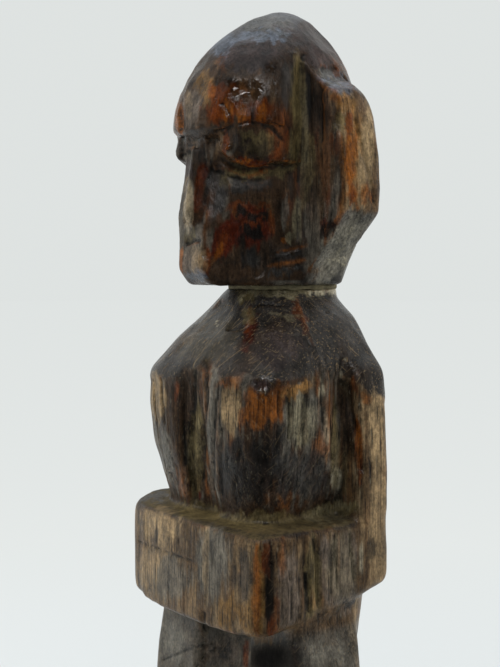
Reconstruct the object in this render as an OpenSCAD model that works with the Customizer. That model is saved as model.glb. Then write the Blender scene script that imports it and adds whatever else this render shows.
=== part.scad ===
// Standing carved wooden figure with a pegged head.
// It faces -Y, +Z is up, and its soles rest on the XY plane.
// The body and the head are each carved from one log. A hidden round peg and a bead of filler join them.

/* [Head] */
// Height of the head from its flat underside to the crown
head_h = 48.6; // [47:0.1:50]
// Half of the skull's width over the brow
skull_half_w = 14.4; // [13.6:0.1:15.2]
// Half of the skull's length over the brow
skull_half_d = 17.4; // [16.8:0.1:18]
// Height of the brow's underside over the head's underside
brow_h = 25.4; // [24.4:0.1:26.4]
// How far the crown lies behind the middle of the brow
crown_back = 3.1; // [1:0.1:4]

/* [Face] */
// Reach of the front of the face beside the nose, ahead of the body's middle
face_front = 13.6; // [13.2:0.1:14]
// Half of the width of the front of the face beside the nose
face_half_w = 5.4; // [5:0.1:5.8]
// Reach of the chin ahead of the body's middle
chin_front = 16.1; // [15.7:0.1:16.5]
// Half of the width of the chin
chin_half_w = 3.2; // [2.8:0.1:3.6]
// Half of the width of the head where the cheek meets the ear
cheek_half_w = 10.4; // [9.8:0.1:11]
// How far the nose stands ahead of the face beside it
nose_rise = 2.1; // [1.7:0.1:2.5]
// Half of the width of the nose at its root
nose_half_w = 2.6; // [2.2:0.1:3]
// Height of the nose tip over the head's underside
nose_tip_h = 10.4; // [9.6:0.1:11]
// Length of the lens-shaped eye
eye_len = 12.6; // [12:0.1:13]
// Height of the eye
eye_h = 7.4; // [7:0.1:7.8]
// How far the eye stands out of the cheek
eye_rise = 3.6; // [3.3:0.1:3.9]
// Height of the mouth line over the head's underside
mouth_h = 6.5; // [6:0.1:7]
// Depth of the mouth line
mouth_cut = 0.4; // [0.3:0.1:0.6]
// Height of the bevel under the chin
chin_bevel = 2.8; // [2.4:0.1:3.2]

/* [Ears] */
// Half of the width across the ears
ear_half_w = 18.8; // [18.2:0.1:19.4]
// Height of the ear's lowest point over the head's underside
ear_low_h = 12.4; // [11.4:0.1:13]
// Height of the ear's widest point over the head's underside
ear_wide_h = 17; // [16:0.5:18]
// Height of the ear's outer top corner over the head's underside
ear_top_h = 33; // [32:0.5:34]
// How far the ear leans back from the cheek to its outer edge
ear_sweep = 3.2; // [2.4:0.1:4]
// Thickness of the ear at its outer edge
ear_t = 7.4; // [6.8:0.1:8]

/* [Neck joint] */
// Radius of the neck at the seam
neck_r = 9.7; // [9.2:0.1:10.2]
// How far the neck's axis lies behind the body's middle
neck_back = 4.4; // [4:0.1:5]
// Thickness of the filler in the neck seam
filler_t = 0.6; // [0.4:0.1:1]
// Width of the filler's bead outside the neck
filler_bead = 0.3; // [0:0.1:0.5]
// Diameter of the neck peg
peg_d = 8; // [6:0.5:9]
// Length of the peg inside the head
peg_up = 13; // [10:0.5:16]
// Length of the peg inside the body, from the top of the filler
peg_down = 15; // [11:0.5:18]
// Clearance round the peg in its two sockets
peg_gap = 0.1; // [0.05:0.05:0.2]
// Clearance at each end of the peg
peg_end_gap = 0.5; // [0.2:0.1:1]

/* [Trunk] */
// Height of the trunk from the top of the forearms to the neck seam
trunk_h = 40.1; // [38:0.5:42]
// Half of the chest's width
chest_half_w = 19.5; // [19:0.1:20]
// Reach of the chest ahead of the body's middle
chest_front = 17; // [16.4:0.1:17.6]
// Half of the waist's width
waist_half_w = 15.5; // [14.5:0.1:16.5]
// Reach of the waist ahead of the body's middle
waist_front = 13.4; // [12.6:0.1:14]
// Reach of the back behind the body's middle
back_reach = 12.6; // [12:0.1:13.4]
// Radius of the gouge that cut the breastbone groove
sternum_r = 5.4; // [4.8:0.1:6]
// Depth of the breastbone groove
sternum_cut = 2.8; // [2:0.1:3.4]

/* [Arms] */
// Half of the width over the arms
arm_half_w = 21.6; // [21:0.1:22.2]
// Reach of the elbows behind the body's middle
elbow_back = 11.8; // [11.4:0.1:12.2]
// Thickness of the upper arm from front to back
arm_t = 7.2; // [6.4:0.1:8]
// Width of the upper arm from side to side
arm_w = 8; // [7:0.1:9]
// Height of the forearms and joined hands at the front
forearm_h = 17.9; // [16.5:0.1:19]
// Reach of the joined hands at their corners
hands_corner = 15.4; // [15:0.1:15.8]
// Reach of the joined hands at the middle
hands_front = 17.6; // [17.2:0.1:18]
// Rise of the forearm's underside from the hands to the elbow
forearm_rise = 6.4; // [5:0.1:7.5]
// Radius that rounds the elbow
elbow_r = 3; // [2:0.1:4]
// Radius that rounds the outer corners of the joined hands
hands_r = 3.6; // [3:0.1:4.2]

/* [Legs] */
// Height from the soles to the underside of the hands
leg_h = 60.5; // [56:0.5:65]
// Half of the clear gap between the thighs
leg_gap_half = 7.4; // [6.6:0.1:8.2]
// Outer reach of the hip from the middle
hip_half_w = 19.9; // [19.4:0.1:20.4]
// Outer reach of the knee from the middle
knee_half_w = 23.6; // [22.8:0.1:24.4]
// Depth of the thigh from front to back
thigh_d = 14.4; // [13.6:0.1:15]
// Height of the knee over the soles
knee_h = 36; // [32:0.5:38]
// Outer reach of the ankle from the middle
ankle_half_w = 19.6; // [18.8:0.1:20.4]
// Height of the ankle over the soles
ankle_h = 10; // [8:0.5:11]
// Length of the foot
foot_len = 25; // [23:0.5:27]
// Width of the foot
foot_w = 12.6; // [11.4:0.1:13.6]
// Height of the foot at the toes
toe_h = 4.6; // [3.6:0.1:5.4]

/* [Hidden] */
$fn = 48;
over = 1;
block_side = 80;
ring_pts = 36;
shelf_z = leg_h + forearm_h;
seam_z = shelf_z + trunk_h;
neck_top_z = seam_z - filler_t;
chest_z = shelf_z + trunk_h * 0.44;
socket_d = peg_d + 2 * peg_gap;

// One rounded section of a carved mass: [height, centre x, centre y, half width, reach to -Y, reach to +Y,
// squareness of the -Y half, squareness of the +Y half]
function bent(v, e) = sign(v) * pow(abs(v), e);
function reach(s, a) = sin(a) < 0 ? s[4] : s[5];
function square(s, a) = 2 / (sin(a) < 0 ? s[6] : s[7]);
function section_point(s, a) = [
    s[1] + s[3] * bent(cos(a), square(s, a)),
    s[2] + reach(s, a) * bent(sin(a), square(s, a)),
    s[0]
];
function section(s) = [for (i = [0:ring_pts - 1]) section_point(s, 360 * i / ring_pts)];
function wall(r, i, n) = let (j = (i + 1) % n, low = r * n, top = low + n)
    [[low + i, top + i, top + j], [low + i, top + j, low + j]];

// A closed skin through rings of points, from the lowest ring to the highest
module skin(rings) {
    n = len(rings[0]);
    last = len(rings) - 1;
    polyhedron(
        points = [for (ring = rings) each ring],
        faces = [
            [for (i = [0:n - 1]) i],
            for (r = [0:last - 1], i = [0:n - 1]) each wall(r, i, n),
            [for (i = [n - 1:-1:0]) last * n + i]
        ]
    );
}

module loft(sections) {
    skin([for (s = sections) section(s)]);
}

module both_sides() {
    children();
    mirror([1, 0, 0]) children();
}

// Head, drawn with its underside at z = 0
dome_h = head_h - brow_h;
dome_turn_h = brow_h + dome_h * 0.06;
dome_rings = 12;
dome_fall = 0.64;
dome_tip = 0.985;
dome_square = 2.2;
brow_tuck = 0.88;
brow_centre = 0.9;
nape_front_y = 9;
nape_back_y = 13.4;
jaw_swell = 0.3;
jaw_half_w = cheek_half_w + jaw_swell;
nape_half_w = 7;
cheek_y = 0.5;
ear_front_y = cheek_y + ear_sweep;
ear_back_y = ear_front_y + ear_t;
cheek_turn = atan2(cheek_half_w - face_half_w, face_front + cheek_y);

function dome_u(i) = dome_tip * i / dome_rings;
function dome_size(u) = pow(1 - u * u, dome_fall);
function skull_section(z, back, size) = [
    z,
    0,
    brow_centre + back,
    skull_half_w * size,
    skull_half_d * size,
    skull_half_d * size,
    dome_square,
    dome_square
];
function dome_section(i) = let (u = dome_u(i))
    skull_section(dome_turn_h + (head_h - dome_turn_h) * u / dome_tip, crown_back * u * u, dome_size(u));

module skull() {
    loft([
        skull_section(brow_h, 0, brow_tuck),
        for (i = [0:dome_rings]) dome_section(i)
    ]);
}

occiput_rise = 1.6;
occiput_low_h = ear_low_h + occiput_rise;
occiput_in = 1.8;
occiput_short = 0.3;
occiput_back = brow_centre + skull_half_d - occiput_short;
occiput_square = 2.2;

// Back of the head, swelling from the nape up to the skull
module occiput() {
    loft([
        [occiput_low_h, 0, nape_front_y, nape_half_w, nape_front_y, nape_back_y - nape_front_y,
            occiput_square, occiput_square],
        [dome_turn_h, 0, nape_front_y, skull_half_w - occiput_in, nape_front_y, occiput_back - nape_front_y,
            occiput_square, occiput_square]
    ]);
}

lip_rise = 1.6;
lip_h = nose_tip_h + lip_rise;
lip_front = (chin_front + face_front) / 2;
nose_mid_h = brow_h * 0.72;
brow_set = 0.4;
brow_front = face_front - brow_set;

function face_ring(z, half_w, front) = [
    [-half_w, -front, z],
    [half_w, -front, z],
    [cheek_half_w, cheek_y, z],
    [jaw_half_w, nape_front_y, z],
    [nape_half_w, nape_back_y, z],
    [-nape_half_w, nape_back_y, z],
    [-jaw_half_w, nape_front_y, z],
    [-cheek_half_w, cheek_y, z]
];

// Face and jaw, whose flat front leans forward and narrows down to the chin
module face_block() {
    skin([
        face_ring(0, chin_half_w, chin_front),
        face_ring(lip_h, face_half_w, lip_front),
        face_ring(nose_mid_h, face_half_w, face_front),
        face_ring(brow_h + over, face_half_w, brow_front)
    ]);
}

slant_turn = 52;
slant_lean = 6;
slant_in = 2.2;
slant_step = 0.7;
slant_front = face_front + slant_step;
slant_drop = 5.4;
slant_h = brow_h - slant_drop;

// The slanting cut that takes off the left corner of the face, from beside the nose down to the chin
module slant_cut() {
    translate([slant_in, -slant_front, slant_h])
        rotate([-slant_lean, 0, slant_turn])
            translate([-block_side / 2, -block_side, -block_side / 2])
                cube([block_side, block_side, block_side]);
}

// Outline of the ear and nape, square to the line from the nose's other side to the ear
nape_turn = 54;
nape_reach = 13.6;
nape_mid_reach = 17;
nape_drop = 3.4;
nape_mid_h = ear_low_h - nape_drop;
lobe_reach = 20.3;
lobe_rise = 1.2;
lobe_h = ear_low_h + lobe_rise;
helix_rise = 0.4;
helix_h = ear_wide_h + helix_rise;
rim_reach = 18.6;
rim_drop = 2.4;
rim_h = ear_top_h - rim_drop;
crest_reach = 15.8;
crest_rise = 2;
crest_h = ear_top_h + crest_rise;
crest_over = 3;
ear_back_swell = 2;
ear_lobe_in = 0.7;
ear_lobe_w = ear_half_w - ear_lobe_in;
ear_upper_in = 0.9;
ear_upper_w = ear_half_w - ear_upper_in;
ear_upper_drop = 8;
ear_upper_h = ear_top_h - ear_upper_drop;
ear_corner_in = 2.2;
ear_corner_w = ear_half_w - ear_corner_in;
ear_crest_in = 1.3;
ear_crest_w = cheek_half_w - ear_crest_in;
ear_crest_rise = 6;
ear_crest_h = ear_top_h + ear_crest_rise;

module ear_front_outline() {
    polygon([
        [0, 0],
        [jaw_half_w, 0],
        [ear_lobe_w, ear_low_h],
        [ear_half_w, ear_wide_h],
        [ear_upper_w, ear_upper_h],
        [ear_corner_w, ear_top_h],
        [ear_crest_w, ear_crest_h],
        [0, ear_crest_h]
    ]);
}

module ear_plan_outline() {
    polygon([
        [0, cheek_y],
        [cheek_half_w, cheek_y],
        [ear_half_w + over, ear_front_y],
        [ear_half_w + over, ear_back_y],
        [jaw_half_w, ear_back_y + ear_back_swell],
        [nape_half_w, nape_back_y],
        [0, nape_back_y]
    ]);
}

module turned_prism() {
    rotate([0, 0, nape_turn])
        rotate([90, 0, 0])
            linear_extrude(block_side, center = true)
                children();
}

module ear_slab() {
    intersection() {
        rotate([90, 0, 0])
            linear_extrude(2 * block_side, center = true)
                ear_front_outline();
        linear_extrude(head_h)
            ear_plan_outline();
        turned_prism()
            polygon([
                [-block_side, -over],
                [block_side, -over],
                [block_side, lobe_h],
                [lobe_reach, lobe_h],
                [lobe_reach, helix_h],
                [rim_reach, rim_h],
                [crest_reach, crest_h],
                [0, ear_crest_h + crest_over],
                [-block_side, ear_crest_h + crest_over]
            ]);
    }
}

notch_w = 3;
notch_d = 5.8;
notch_rise = 0.6;
notch_top_h = ear_crest_h + notch_rise;

// The notch that parts the forehead from the ear
module temple_notch() {
    translate([0, 0, -over])
        linear_extrude(notch_top_h + over)
            polygon([
                [cheek_half_w, cheek_y],
                [cheek_half_w + notch_w, cheek_y - notch_d],
                [block_side, cheek_y - notch_d - block_side / 2],
                [block_side, ear_front_y + ear_sweep],
                [ear_half_w + over, ear_front_y]
            ]);
}

post_h = 4.4;
post_w = 2.2;

// Temple between the eye's outer corner and the notch
module temple_post() {
    translate([0, 0, brow_h - post_h])
        linear_extrude(post_h + over)
            polygon([
                [cheek_half_w, cheek_y],
                [0, cheek_y],
                [0, cheek_y - notch_d],
                [cheek_half_w + post_w, cheek_y - notch_d + over]
            ]);
}

eye_drop = 0.9;
eye_y = -face_front * 0.55;
eye_r = (eye_len * eye_len / 4 + eye_h * eye_h / 4) / eye_h;
eye_dome_r = eye_len * 1.5;
eye_slant = 10;
eye_tilt = 16;
socket_rim = 0.3;
socket_step = 1;

module lens(h, rim) {
    intersection_for (side = [-1, 1])
        translate([side * (eye_r - eye_h / 2), 0, 0])
            cylinder(r = eye_r + rim, h = h);
}

module on_cheek() {
    translate([cheek_half_w - (cheek_y - eye_y) * tan(cheek_turn), eye_y, brow_h - eye_drop])
        rotate([0, 0, -cheek_turn])
            rotate([0, 90 + eye_tilt, 0])
                rotate([0, 0, eye_slant])
                    children();
}

// A lens between two round cuts, standing out of the cheek and rounded over its face
module eye() {
    on_cheek()
        intersection() {
            translate([0, 0, -eye_h / 2])
                lens(block_side, 0);
            translate([0, 0, eye_rise - eye_dome_r])
                sphere(r = eye_dome_r);
        }
}

// The arch cut into the brow round the eye
module eye_socket() {
    on_cheek()
        translate([0, 0, eye_rise - socket_step])
            lens(block_side, socket_rim);
}

nose_root_drop = 1.6;
nose_root_h = brow_h - nose_root_drop;
nose_edge = 0.5;
nose_tip_edge = 0.9;
nose_tip_half_w = nose_half_w * 0.62;
nose_sole_drop = 1.4;
nose_sole_h = nose_tip_h - nose_sole_drop;
nose_lean = 0.9;

module nose_slice(z, half_w, edge, front, back) {
    translate([0, 0, z])
        linear_extrude(over / 10)
            polygon([
                [-half_w, -back],
                [-edge, -front],
                [edge, -front],
                [half_w, -back]
            ]);
}

// A wedge that widens up to the brow, with its ridge leaning out to the tip
module nose() {
    ridge = face_front + nose_rise;
    hull() {
        nose_slice(nose_sole_h, nose_tip_edge, nose_edge, lip_front + nose_edge, face_front - over);
        nose_slice(nose_tip_h + over, nose_tip_half_w, nose_tip_edge, ridge + nose_lean, face_front - over);
        nose_slice(nose_root_h, nose_half_w, nose_edge, ridge - nose_edge, brow_front - 3 * over);
    }
}

mouth_front = chin_front - (chin_front - lip_front) * mouth_h / lip_h;

module mouth_line() {
    translate([0, -mouth_front, mouth_h])
        rotate([45, 0, 0])
            cube([block_side, mouth_cut * sqrt(2), mouth_cut * sqrt(2)], center = true);
}

module chin_cut() {
    translate([0, -chin_front, chin_bevel])
        rotate([45, 0, 0])
            translate([-block_side / 2, -block_side, -block_side])
                cube([block_side, block_side, block_side]);
}

// Cut that clears the wood behind the jaw and under the ear
module nape_cut() {
    turned_prism()
        polygon([
            [nape_reach, -over],
            [block_side, -over],
            [block_side, lobe_h],
            [lobe_reach, lobe_h],
            [nape_mid_reach, nape_mid_h]
        ]);
}

module head_solid() {
    difference() {
        union() {
            difference() {
                union() {
                    skull();
                    difference() {
                        face_block();
                        slant_cut();
                    }
                    both_sides() temple_post();
                }
                both_sides() temple_notch();
                both_sides() eye_socket();
            }
            both_sides() ear_slab();
            both_sides() eye();
            occiput();
            nose();
        }
        mouth_line();
        chin_cut();
        both_sides() nape_cut();
    }
}

module head() {
    color("#5b3019")
        difference() {
            translate([0, 0, seam_z])
                head_solid();
            translate([0, neck_back, seam_z - over])
                cylinder(d = socket_d, h = peg_up + peg_end_gap + over);
        }
}

module neck_peg() {
    color("#a9875a")
        translate([0, neck_back, seam_z - peg_down])
            cylinder(d = peg_d, h = peg_down + peg_up);
}

module neck_filler() {
    color("#cfc4a4")
        translate([0, neck_back, neck_top_z])
            difference() {
                cylinder(r = neck_r + filler_bead, h = filler_t);
                translate([0, 0, -over])
                    cylinder(d = socket_d, h = filler_t + 2 * over);
            }
}

// Heights of the trunk's sections over the widest level of the chest
rib_drop = 6;
breast_rise = 1;
cape_rise = 7;
slope_rise = 13;
nape_rise = 17;
collar_rise = 20;
// How far each section falls short of the chest's own reach
rib_fall = 1;
cape_swell = 0.4;
slope_fall_w = 2.8;
slope_fall_d = 4.4;
nape_fall_d = 9;
nape_swell_w = 4;
collar_swell_w = 0.6;
collar_fall_d = 2;
collar_y = 1;
// How far the upper back stands behind the waist's back
cape_hump = 0.8;
slope_hump = 1.4;
nape_hump = 1.7;
collar_hump = 0.5;
trunk_root = 4;

module trunk() {
    loft([
        [leg_h + trunk_root, 0, 0, waist_half_w, waist_front, back_reach, 4, 4],
        [shelf_z + over, 0, 0, waist_half_w, waist_front, back_reach, 4, 4],
        [chest_z - rib_drop, 0, 0, chest_half_w - rib_fall, chest_front - rib_fall, back_reach, 4, 4.5],
        [chest_z + breast_rise, 0, 0, chest_half_w, chest_front, back_reach, 4, 4.5],
        [chest_z + cape_rise, 0, 0, chest_half_w + cape_swell, chest_front, back_reach + cape_hump, 3.4, 4.5],
        [chest_z + slope_rise, 0, 0, chest_half_w - slope_fall_w, chest_front - slope_fall_d,
            back_reach + slope_hump, 2.7, 4.4],
        [chest_z + nape_rise, 0, 0, neck_r + nape_swell_w, chest_front - nape_fall_d,
            back_reach + nape_hump, 2.4, 3.6],
        [chest_z + collar_rise, 0, collar_y, neck_r + collar_swell_w, neck_r - collar_fall_d,
            back_reach + collar_hump, 2.1, 2.2],
        [neck_top_z, 0, neck_back, neck_r, neck_r, neck_r, 2, 2]
    ]);
}

upper_arm_x = arm_half_w - arm_w / 2;
upper_arm_y = elbow_back - arm_t / 2;
arm_edge_r = 1.6;

module arm_section(w, d) {
    offset_w = w / 2 - arm_edge_r;
    offset_d = d / 2 - arm_edge_r;
    for (x = [-offset_w, offset_w], y = [-offset_d, offset_d])
        translate([x, y, 0])
            cylinder(r = arm_edge_r, h = over);
}

arm_turn_rise = 7;
arm_turn_in = 1;
arm_top_rise = 14.4;
arm_top_in = 7.4;
arm_top_back = 0.6;
arm_top_slim = 3;

module upper_arm() {
    hull() {
        translate([upper_arm_x, upper_arm_y, leg_h])
            arm_section(arm_w, arm_t);
        translate([upper_arm_x, upper_arm_y, chest_z + over])
            arm_section(arm_w, arm_t);
        translate([upper_arm_x - arm_turn_in, upper_arm_y, chest_z + arm_turn_rise])
            arm_section(arm_w, arm_t);
        translate([upper_arm_x - arm_top_in, upper_arm_y + arm_top_back, chest_z + arm_top_rise])
            arm_section(arm_w - arm_top_slim, arm_t);
    }
}

hands_bow = hands_front - hands_corner;
hands_arc_r = (arm_half_w * arm_half_w + hands_bow * hands_bow) / (2 * hands_bow);
forearm_slope = atan2(forearm_rise, hands_corner + elbow_back);

hands_mid_y = 0;

module forearm_plan() {
    intersection() {
        offset(r = hands_r)
            offset(delta = -hands_r)
                intersection() {
                    translate([0, hands_arc_r - hands_front])
                        circle(r = hands_arc_r, $fn = 180);
                    translate([-arm_half_w, -hands_front])
                        square([2 * arm_half_w, 2 * hands_front + elbow_back]);
                }
        union() {
            translate([-arm_half_w, -hands_front])
                square([2 * arm_half_w, hands_front + elbow_back - elbow_r]);
            translate([-arm_half_w + elbow_r, hands_mid_y])
                square([2 * (arm_half_w - elbow_r), elbow_back - hands_mid_y]);
            for (x = [-arm_half_w + elbow_r, arm_half_w - elbow_r])
                translate([x, elbow_back - elbow_r])
                    circle(r = elbow_r);
        }
    }
}

// Upper arms, forearms and joined hands, with an underside that climbs towards the elbows
module arms() {
    difference() {
        union() {
            translate([0, 0, leg_h])
                linear_extrude(forearm_h)
                    forearm_plan();
            both_sides() upper_arm();
        }
        translate([0, -hands_corner, leg_h])
            rotate([forearm_slope, 0, 0])
                translate([-block_side / 2, 0, -block_side])
                    cube([block_side, block_side, block_side]);
    }
}

thigh_y = -1.3;
hip_tuck = 1;
hip_front = thigh_d / 2 - thigh_y;
hip_drop = 4;
hip_root = 6;
hip_back_in = 3;
leg_square = 12;

module hips() {
    loft([
        [leg_h - hip_drop, 0, 0, hip_half_w, hip_front - hip_tuck, back_reach - hip_back_in, 4, 4],
        [leg_h + hip_root, 0, 0, hip_half_w, hip_front + hip_tuck, back_reach - hip_tuck, 4, 4]
    ]);
}

function leg_section(z, inner, outer, y, d) =
    [z, (inner + outer) / 2, y, (outer - inner) / 2, d / 2, d / 2, leg_square, leg_square];

leg_foot_z = 0.5;
shin_part = 1.2;
shin_inner = leg_gap_half + shin_part;
shin_y = -1;
calf_in = 1;
calf_out = 1.4;
calf_z = knee_h * 0.62;
knee_in = 0.6;
knee_step = 1.2;
knee_y = thigh_y - knee_step;
thigh_drop = 10.5;
thigh_out = (knee_half_w - hip_half_w) * 0.78;
thigh_lean = 0.6;
thigh_lean_y = thigh_y - thigh_lean;
hip_top_rise = 2;

module leg() {
    loft([
        leg_section(leg_foot_z, shin_inner, ankle_half_w + knee_in, shin_y, thigh_d - 2 * calf_in),
        leg_section(ankle_h, shin_inner, ankle_half_w, shin_y, thigh_d - 3 * calf_in),
        leg_section(calf_z, leg_gap_half + calf_in, knee_half_w - calf_out, shin_y, thigh_d - calf_in),
        leg_section(knee_h, leg_gap_half + knee_in, knee_half_w, knee_y, thigh_d),
        leg_section(leg_h - thigh_drop, leg_gap_half, hip_half_w + thigh_out, thigh_lean_y, thigh_d),
        leg_section(leg_h + hip_top_rise, leg_gap_half, hip_half_w, thigh_y, thigh_d)
    ]);
}

toe_y = -brow_centre - skull_half_d;
foot_heel_y = toe_y + foot_len;
foot_x = (leg_gap_half + calf_in + ankle_half_w) / 2 + knee_in;
heel_drop = 2;
heel_back = 0.6;
heel_round = 3;
instep_y = -4;
toe_slope = 2;
toe_round = 1.4;
toe_corner = 2;
heel_corner = 1.4;

module foot() {
    translate([foot_x, 0, 0])
        intersection() {
            rotate([90, 0, 90])
                linear_extrude(foot_w, center = true)
                    polygon([
                        [toe_y, 0],
                        [foot_heel_y, 0],
                        [foot_heel_y - heel_back, ankle_h - heel_drop],
                        [foot_heel_y - heel_round, ankle_h],
                        [instep_y, ankle_h],
                        [toe_y + toe_slope, toe_h],
                        [toe_y + heel_back, toe_h - toe_round]
                    ]);
            linear_extrude(ankle_h + over)
                polygon([
                    [heel_corner - foot_w / 2, foot_heel_y],
                    [-foot_w / 2, foot_heel_y - heel_round],
                    [-foot_w / 2, toe_y + heel_round],
                    [toe_corner - foot_w / 2, toe_y],
                    [foot_w / 2 - toe_corner, toe_y],
                    [foot_w / 2, toe_y + heel_round],
                    [foot_w / 2, foot_heel_y - heel_round],
                    [foot_w / 2 - heel_corner, foot_heel_y]
                ]);
        }
}

sternum_lean = atan2(chest_front - waist_front, chest_z - shelf_z);

sternum_side = 0.8;
sternum_sole = 2;

module sternum_groove() {
    translate([sternum_side, -chest_front - sternum_r + sternum_cut, chest_z])
        rotate([sternum_lean, 0, 0])
            translate([0, 0, shelf_z - chest_z - sternum_sole])
                cylinder(r = sternum_r, h = block_side);
}

armpit_r = 3.2;
armpit_in = 0.5;
armpit_cut = 2;
armpit_x = arm_half_w - armpit_in;
armpit_y = elbow_back - arm_t - armpit_r + armpit_cut;

// Hollow between the chest and the upper arm
module armpit_groove() {
    translate([armpit_x, armpit_y, shelf_z])
        cylinder(r = armpit_r, h = block_side);
}

module body() {
    color("#4a3d33")
        difference() {
            union() {
                difference() {
                    trunk();
                    sternum_groove();
                    both_sides() armpit_groove();
                }
                arms();
                hips();
                both_sides() leg();
                both_sides() foot();
            }
            translate([0, neck_back, seam_z - peg_down - peg_end_gap])
                cylinder(d = socket_d, h = peg_down + peg_end_gap + over);
        }
}

head();
neck_peg();
neck_filler();
body();
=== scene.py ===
import math

import bmesh
import bpy
import numpy as np
from mathutils import Matrix, Vector
from mathutils.bvhtree import BVHTree


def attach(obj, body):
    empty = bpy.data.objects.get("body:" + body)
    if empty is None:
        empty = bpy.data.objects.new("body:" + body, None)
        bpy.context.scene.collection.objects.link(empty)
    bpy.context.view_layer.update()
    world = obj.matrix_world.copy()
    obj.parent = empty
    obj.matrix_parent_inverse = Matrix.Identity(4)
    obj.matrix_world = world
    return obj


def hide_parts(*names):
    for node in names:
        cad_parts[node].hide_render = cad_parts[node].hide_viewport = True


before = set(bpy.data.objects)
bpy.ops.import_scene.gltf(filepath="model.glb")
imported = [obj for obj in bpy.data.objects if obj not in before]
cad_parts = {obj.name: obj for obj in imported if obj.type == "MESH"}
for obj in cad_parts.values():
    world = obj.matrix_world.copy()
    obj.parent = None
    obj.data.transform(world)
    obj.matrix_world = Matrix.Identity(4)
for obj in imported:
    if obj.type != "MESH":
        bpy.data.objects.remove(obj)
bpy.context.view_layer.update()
SCENE = bpy.context.scene

# The carving works in millimetres and the scene in metres
MM = 0.001

# Viewpoint of the photograph: turn about the figure, distance, height, then its frame in pixels
VIEW_TURN = math.radians(54)
VIEW_DIST = 234.0
VIEW_HEIGHT = 124.7
FRAME_W = 500
FRAME_H = 667
HORIZON_ROW = 250
AXIS_COLUMN = 263
FOCAL_PX = 1300.0
SENSOR_MM = 36.0


def view_axes():
    """Eye point of the photograph in millimetres, with its right, up and forward directions."""
    tilt = math.atan((FRAME_H / 2 - HORIZON_ROW) / FOCAL_PX)
    yaw = math.atan((AXIS_COLUMN - FRAME_W / 2) / FOCAL_PX)
    s, c = math.sin(VIEW_TURN), math.cos(VIEW_TURN)
    ahead = np.array((-s, c, 0.0))
    side = np.array((c, s, 0.0))
    up = np.array((0.0, 0.0, 1.0))
    level = ahead * math.cos(yaw) - side * math.sin(yaw)
    right = side * math.cos(yaw) + ahead * math.sin(yaw)
    forward = level * math.cos(tilt) - up * math.sin(tilt)
    lift = up * math.cos(tilt) + level * math.sin(tilt)
    eye = np.array((s * VIEW_DIST, -c * VIEW_DIST, VIEW_HEIGHT))
    return eye, right, lift, forward


EYE, RIGHT, LIFT, FORWARD = view_axes()


def node_box(name):
    """Lowest and highest corner of a node's solid, in millimetres."""
    points = np.array([v.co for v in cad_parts[name].data.vertices]) / MM
    return points.min(0).round(3), points.max(0).round(3)


# Levels of the figure, in millimetres: top of the legs, top of the block of hands, neck seam
LEG_TOP = 60.5
SHELF = 78.4
SEAM = node_box("head")[0][2]

# Cells of the fine meshes, in millimetres
HEAD_CELL = 0.34
BODY_CELL = 0.42
FILLER_CELL = 0.2

# Colours of the wood, linear; the bluish one is no colour of the wood but a painted sheen
BLACK = (0.006, 0.005, 0.004)
SOOT = (0.016, 0.012, 0.010)
SLATE = (0.028, 0.026, 0.024)
UMBER = (0.038, 0.021, 0.011)
RED = (0.058, 0.007, 0.001)
RUST = (0.108, 0.023, 0.002)
ORANGE = (0.195, 0.060, 0.008)
BROWN = (0.100, 0.058, 0.026)
TAN = (0.270, 0.185, 0.095)
GREY = (0.110, 0.100, 0.080)
OLIVE = (0.098, 0.074, 0.030)
PALE = (0.330, 0.290, 0.200)
# Painted sheen: bluish light reflected from above, laid on as colour
SHEEN_BLUE = (0.100, 0.115, 0.145)
PLUM = (0.044, 0.031, 0.029)
AMBER = (0.205, 0.060, 0.004)
KHAKI = (0.210, 0.180, 0.105)
MAUVE = (0.110, 0.083, 0.062)
HONEY = (0.155, 0.080, 0.020)
MOSS = (0.155, 0.115, 0.048)
GOLD = (0.240, 0.120, 0.034)

# Each further layer of noise: its share of the one before, how much finer it is, its shift and step of seed
LAYER_SHARE = 0.55
LAYER_FINER = 2.03
LAYER_SHIFT = 11.7
LAYER_SEED = 17


def lattice(i, j, k, seed):
    """A repeatable value from 0 to 1 for each whole-number cell."""
    n = i * 374761393 + j * 668265263 + k * 1440662683 + seed * 1013904223
    n = (n ^ (n >> 13)) & 0xFFFFFFFF
    n = (n * 1274126177) & 0xFFFFFFFF
    n = (n ^ (n >> 16)) & 0xFFFFFFFF
    return n / 0xFFFFFFFF


def noise(p, seed=0):
    """Smooth noise from -1 to 1 with cells of one unit."""
    base = np.floor(p).astype(np.int64)
    f = p - base
    f = f * f * f * (f * (f * 6 - 15) + 10)
    share = (1 - f).T, f.T
    total = np.zeros(len(p))
    for i, j, k in np.ndindex(2, 2, 2):
        weight = share[i][0] * share[j][1] * share[k][2]
        total += weight * lattice(base[:, 0] + i, base[:, 1] + j, base[:, 2] + k, seed)
    return total * 2 - 1


def layered(p, cell, layers, seed):
    """Noise in several layers; cell gives the first one's size across and along the grain."""
    across, along = cell
    q = p / np.array((across, across, along), dtype=float)
    total = np.zeros(len(p))
    weight, whole = 1.0, 0.0
    for layer in range(layers):
        total += weight * noise(q, seed + layer * LAYER_SEED)
        whole += weight
        weight *= LAYER_SHARE
        q = q * LAYER_FINER + LAYER_SHIFT
    return total / whole


def ramp(x, low, high):
    """0 below low, 1 above high, smooth between."""
    t = np.clip((x - low) / (high - low), 0.0, 1.0)
    return t * t * (3 - 2 * t)


def band(x, low, rise, fall, high):
    """0 below low, 1 from rise to fall, 0 above high, smooth between."""
    return ramp(x, low, rise) * (1 - ramp(x, fall, high))


def values(items, key, width, kind):
    """A mesh's values as an array with one row for each item."""
    out = np.empty(len(items) * width, dtype=kind)
    items.foreach_get(key, out)
    return out.reshape(-1, width)


# How far behind and before its middle a patch reaches, and a gouge mark's reach up and down, in millimetres
SPOT_DEEP = 9.0
GOUGE_REACH = 9.0

# Pixels between the surface points of a line, millimetres between its swellings, reach in line widths
TRAIL_STEP = 1.2
LINE_SWELL = 2.3
LINE_REACH = 2.2

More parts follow.
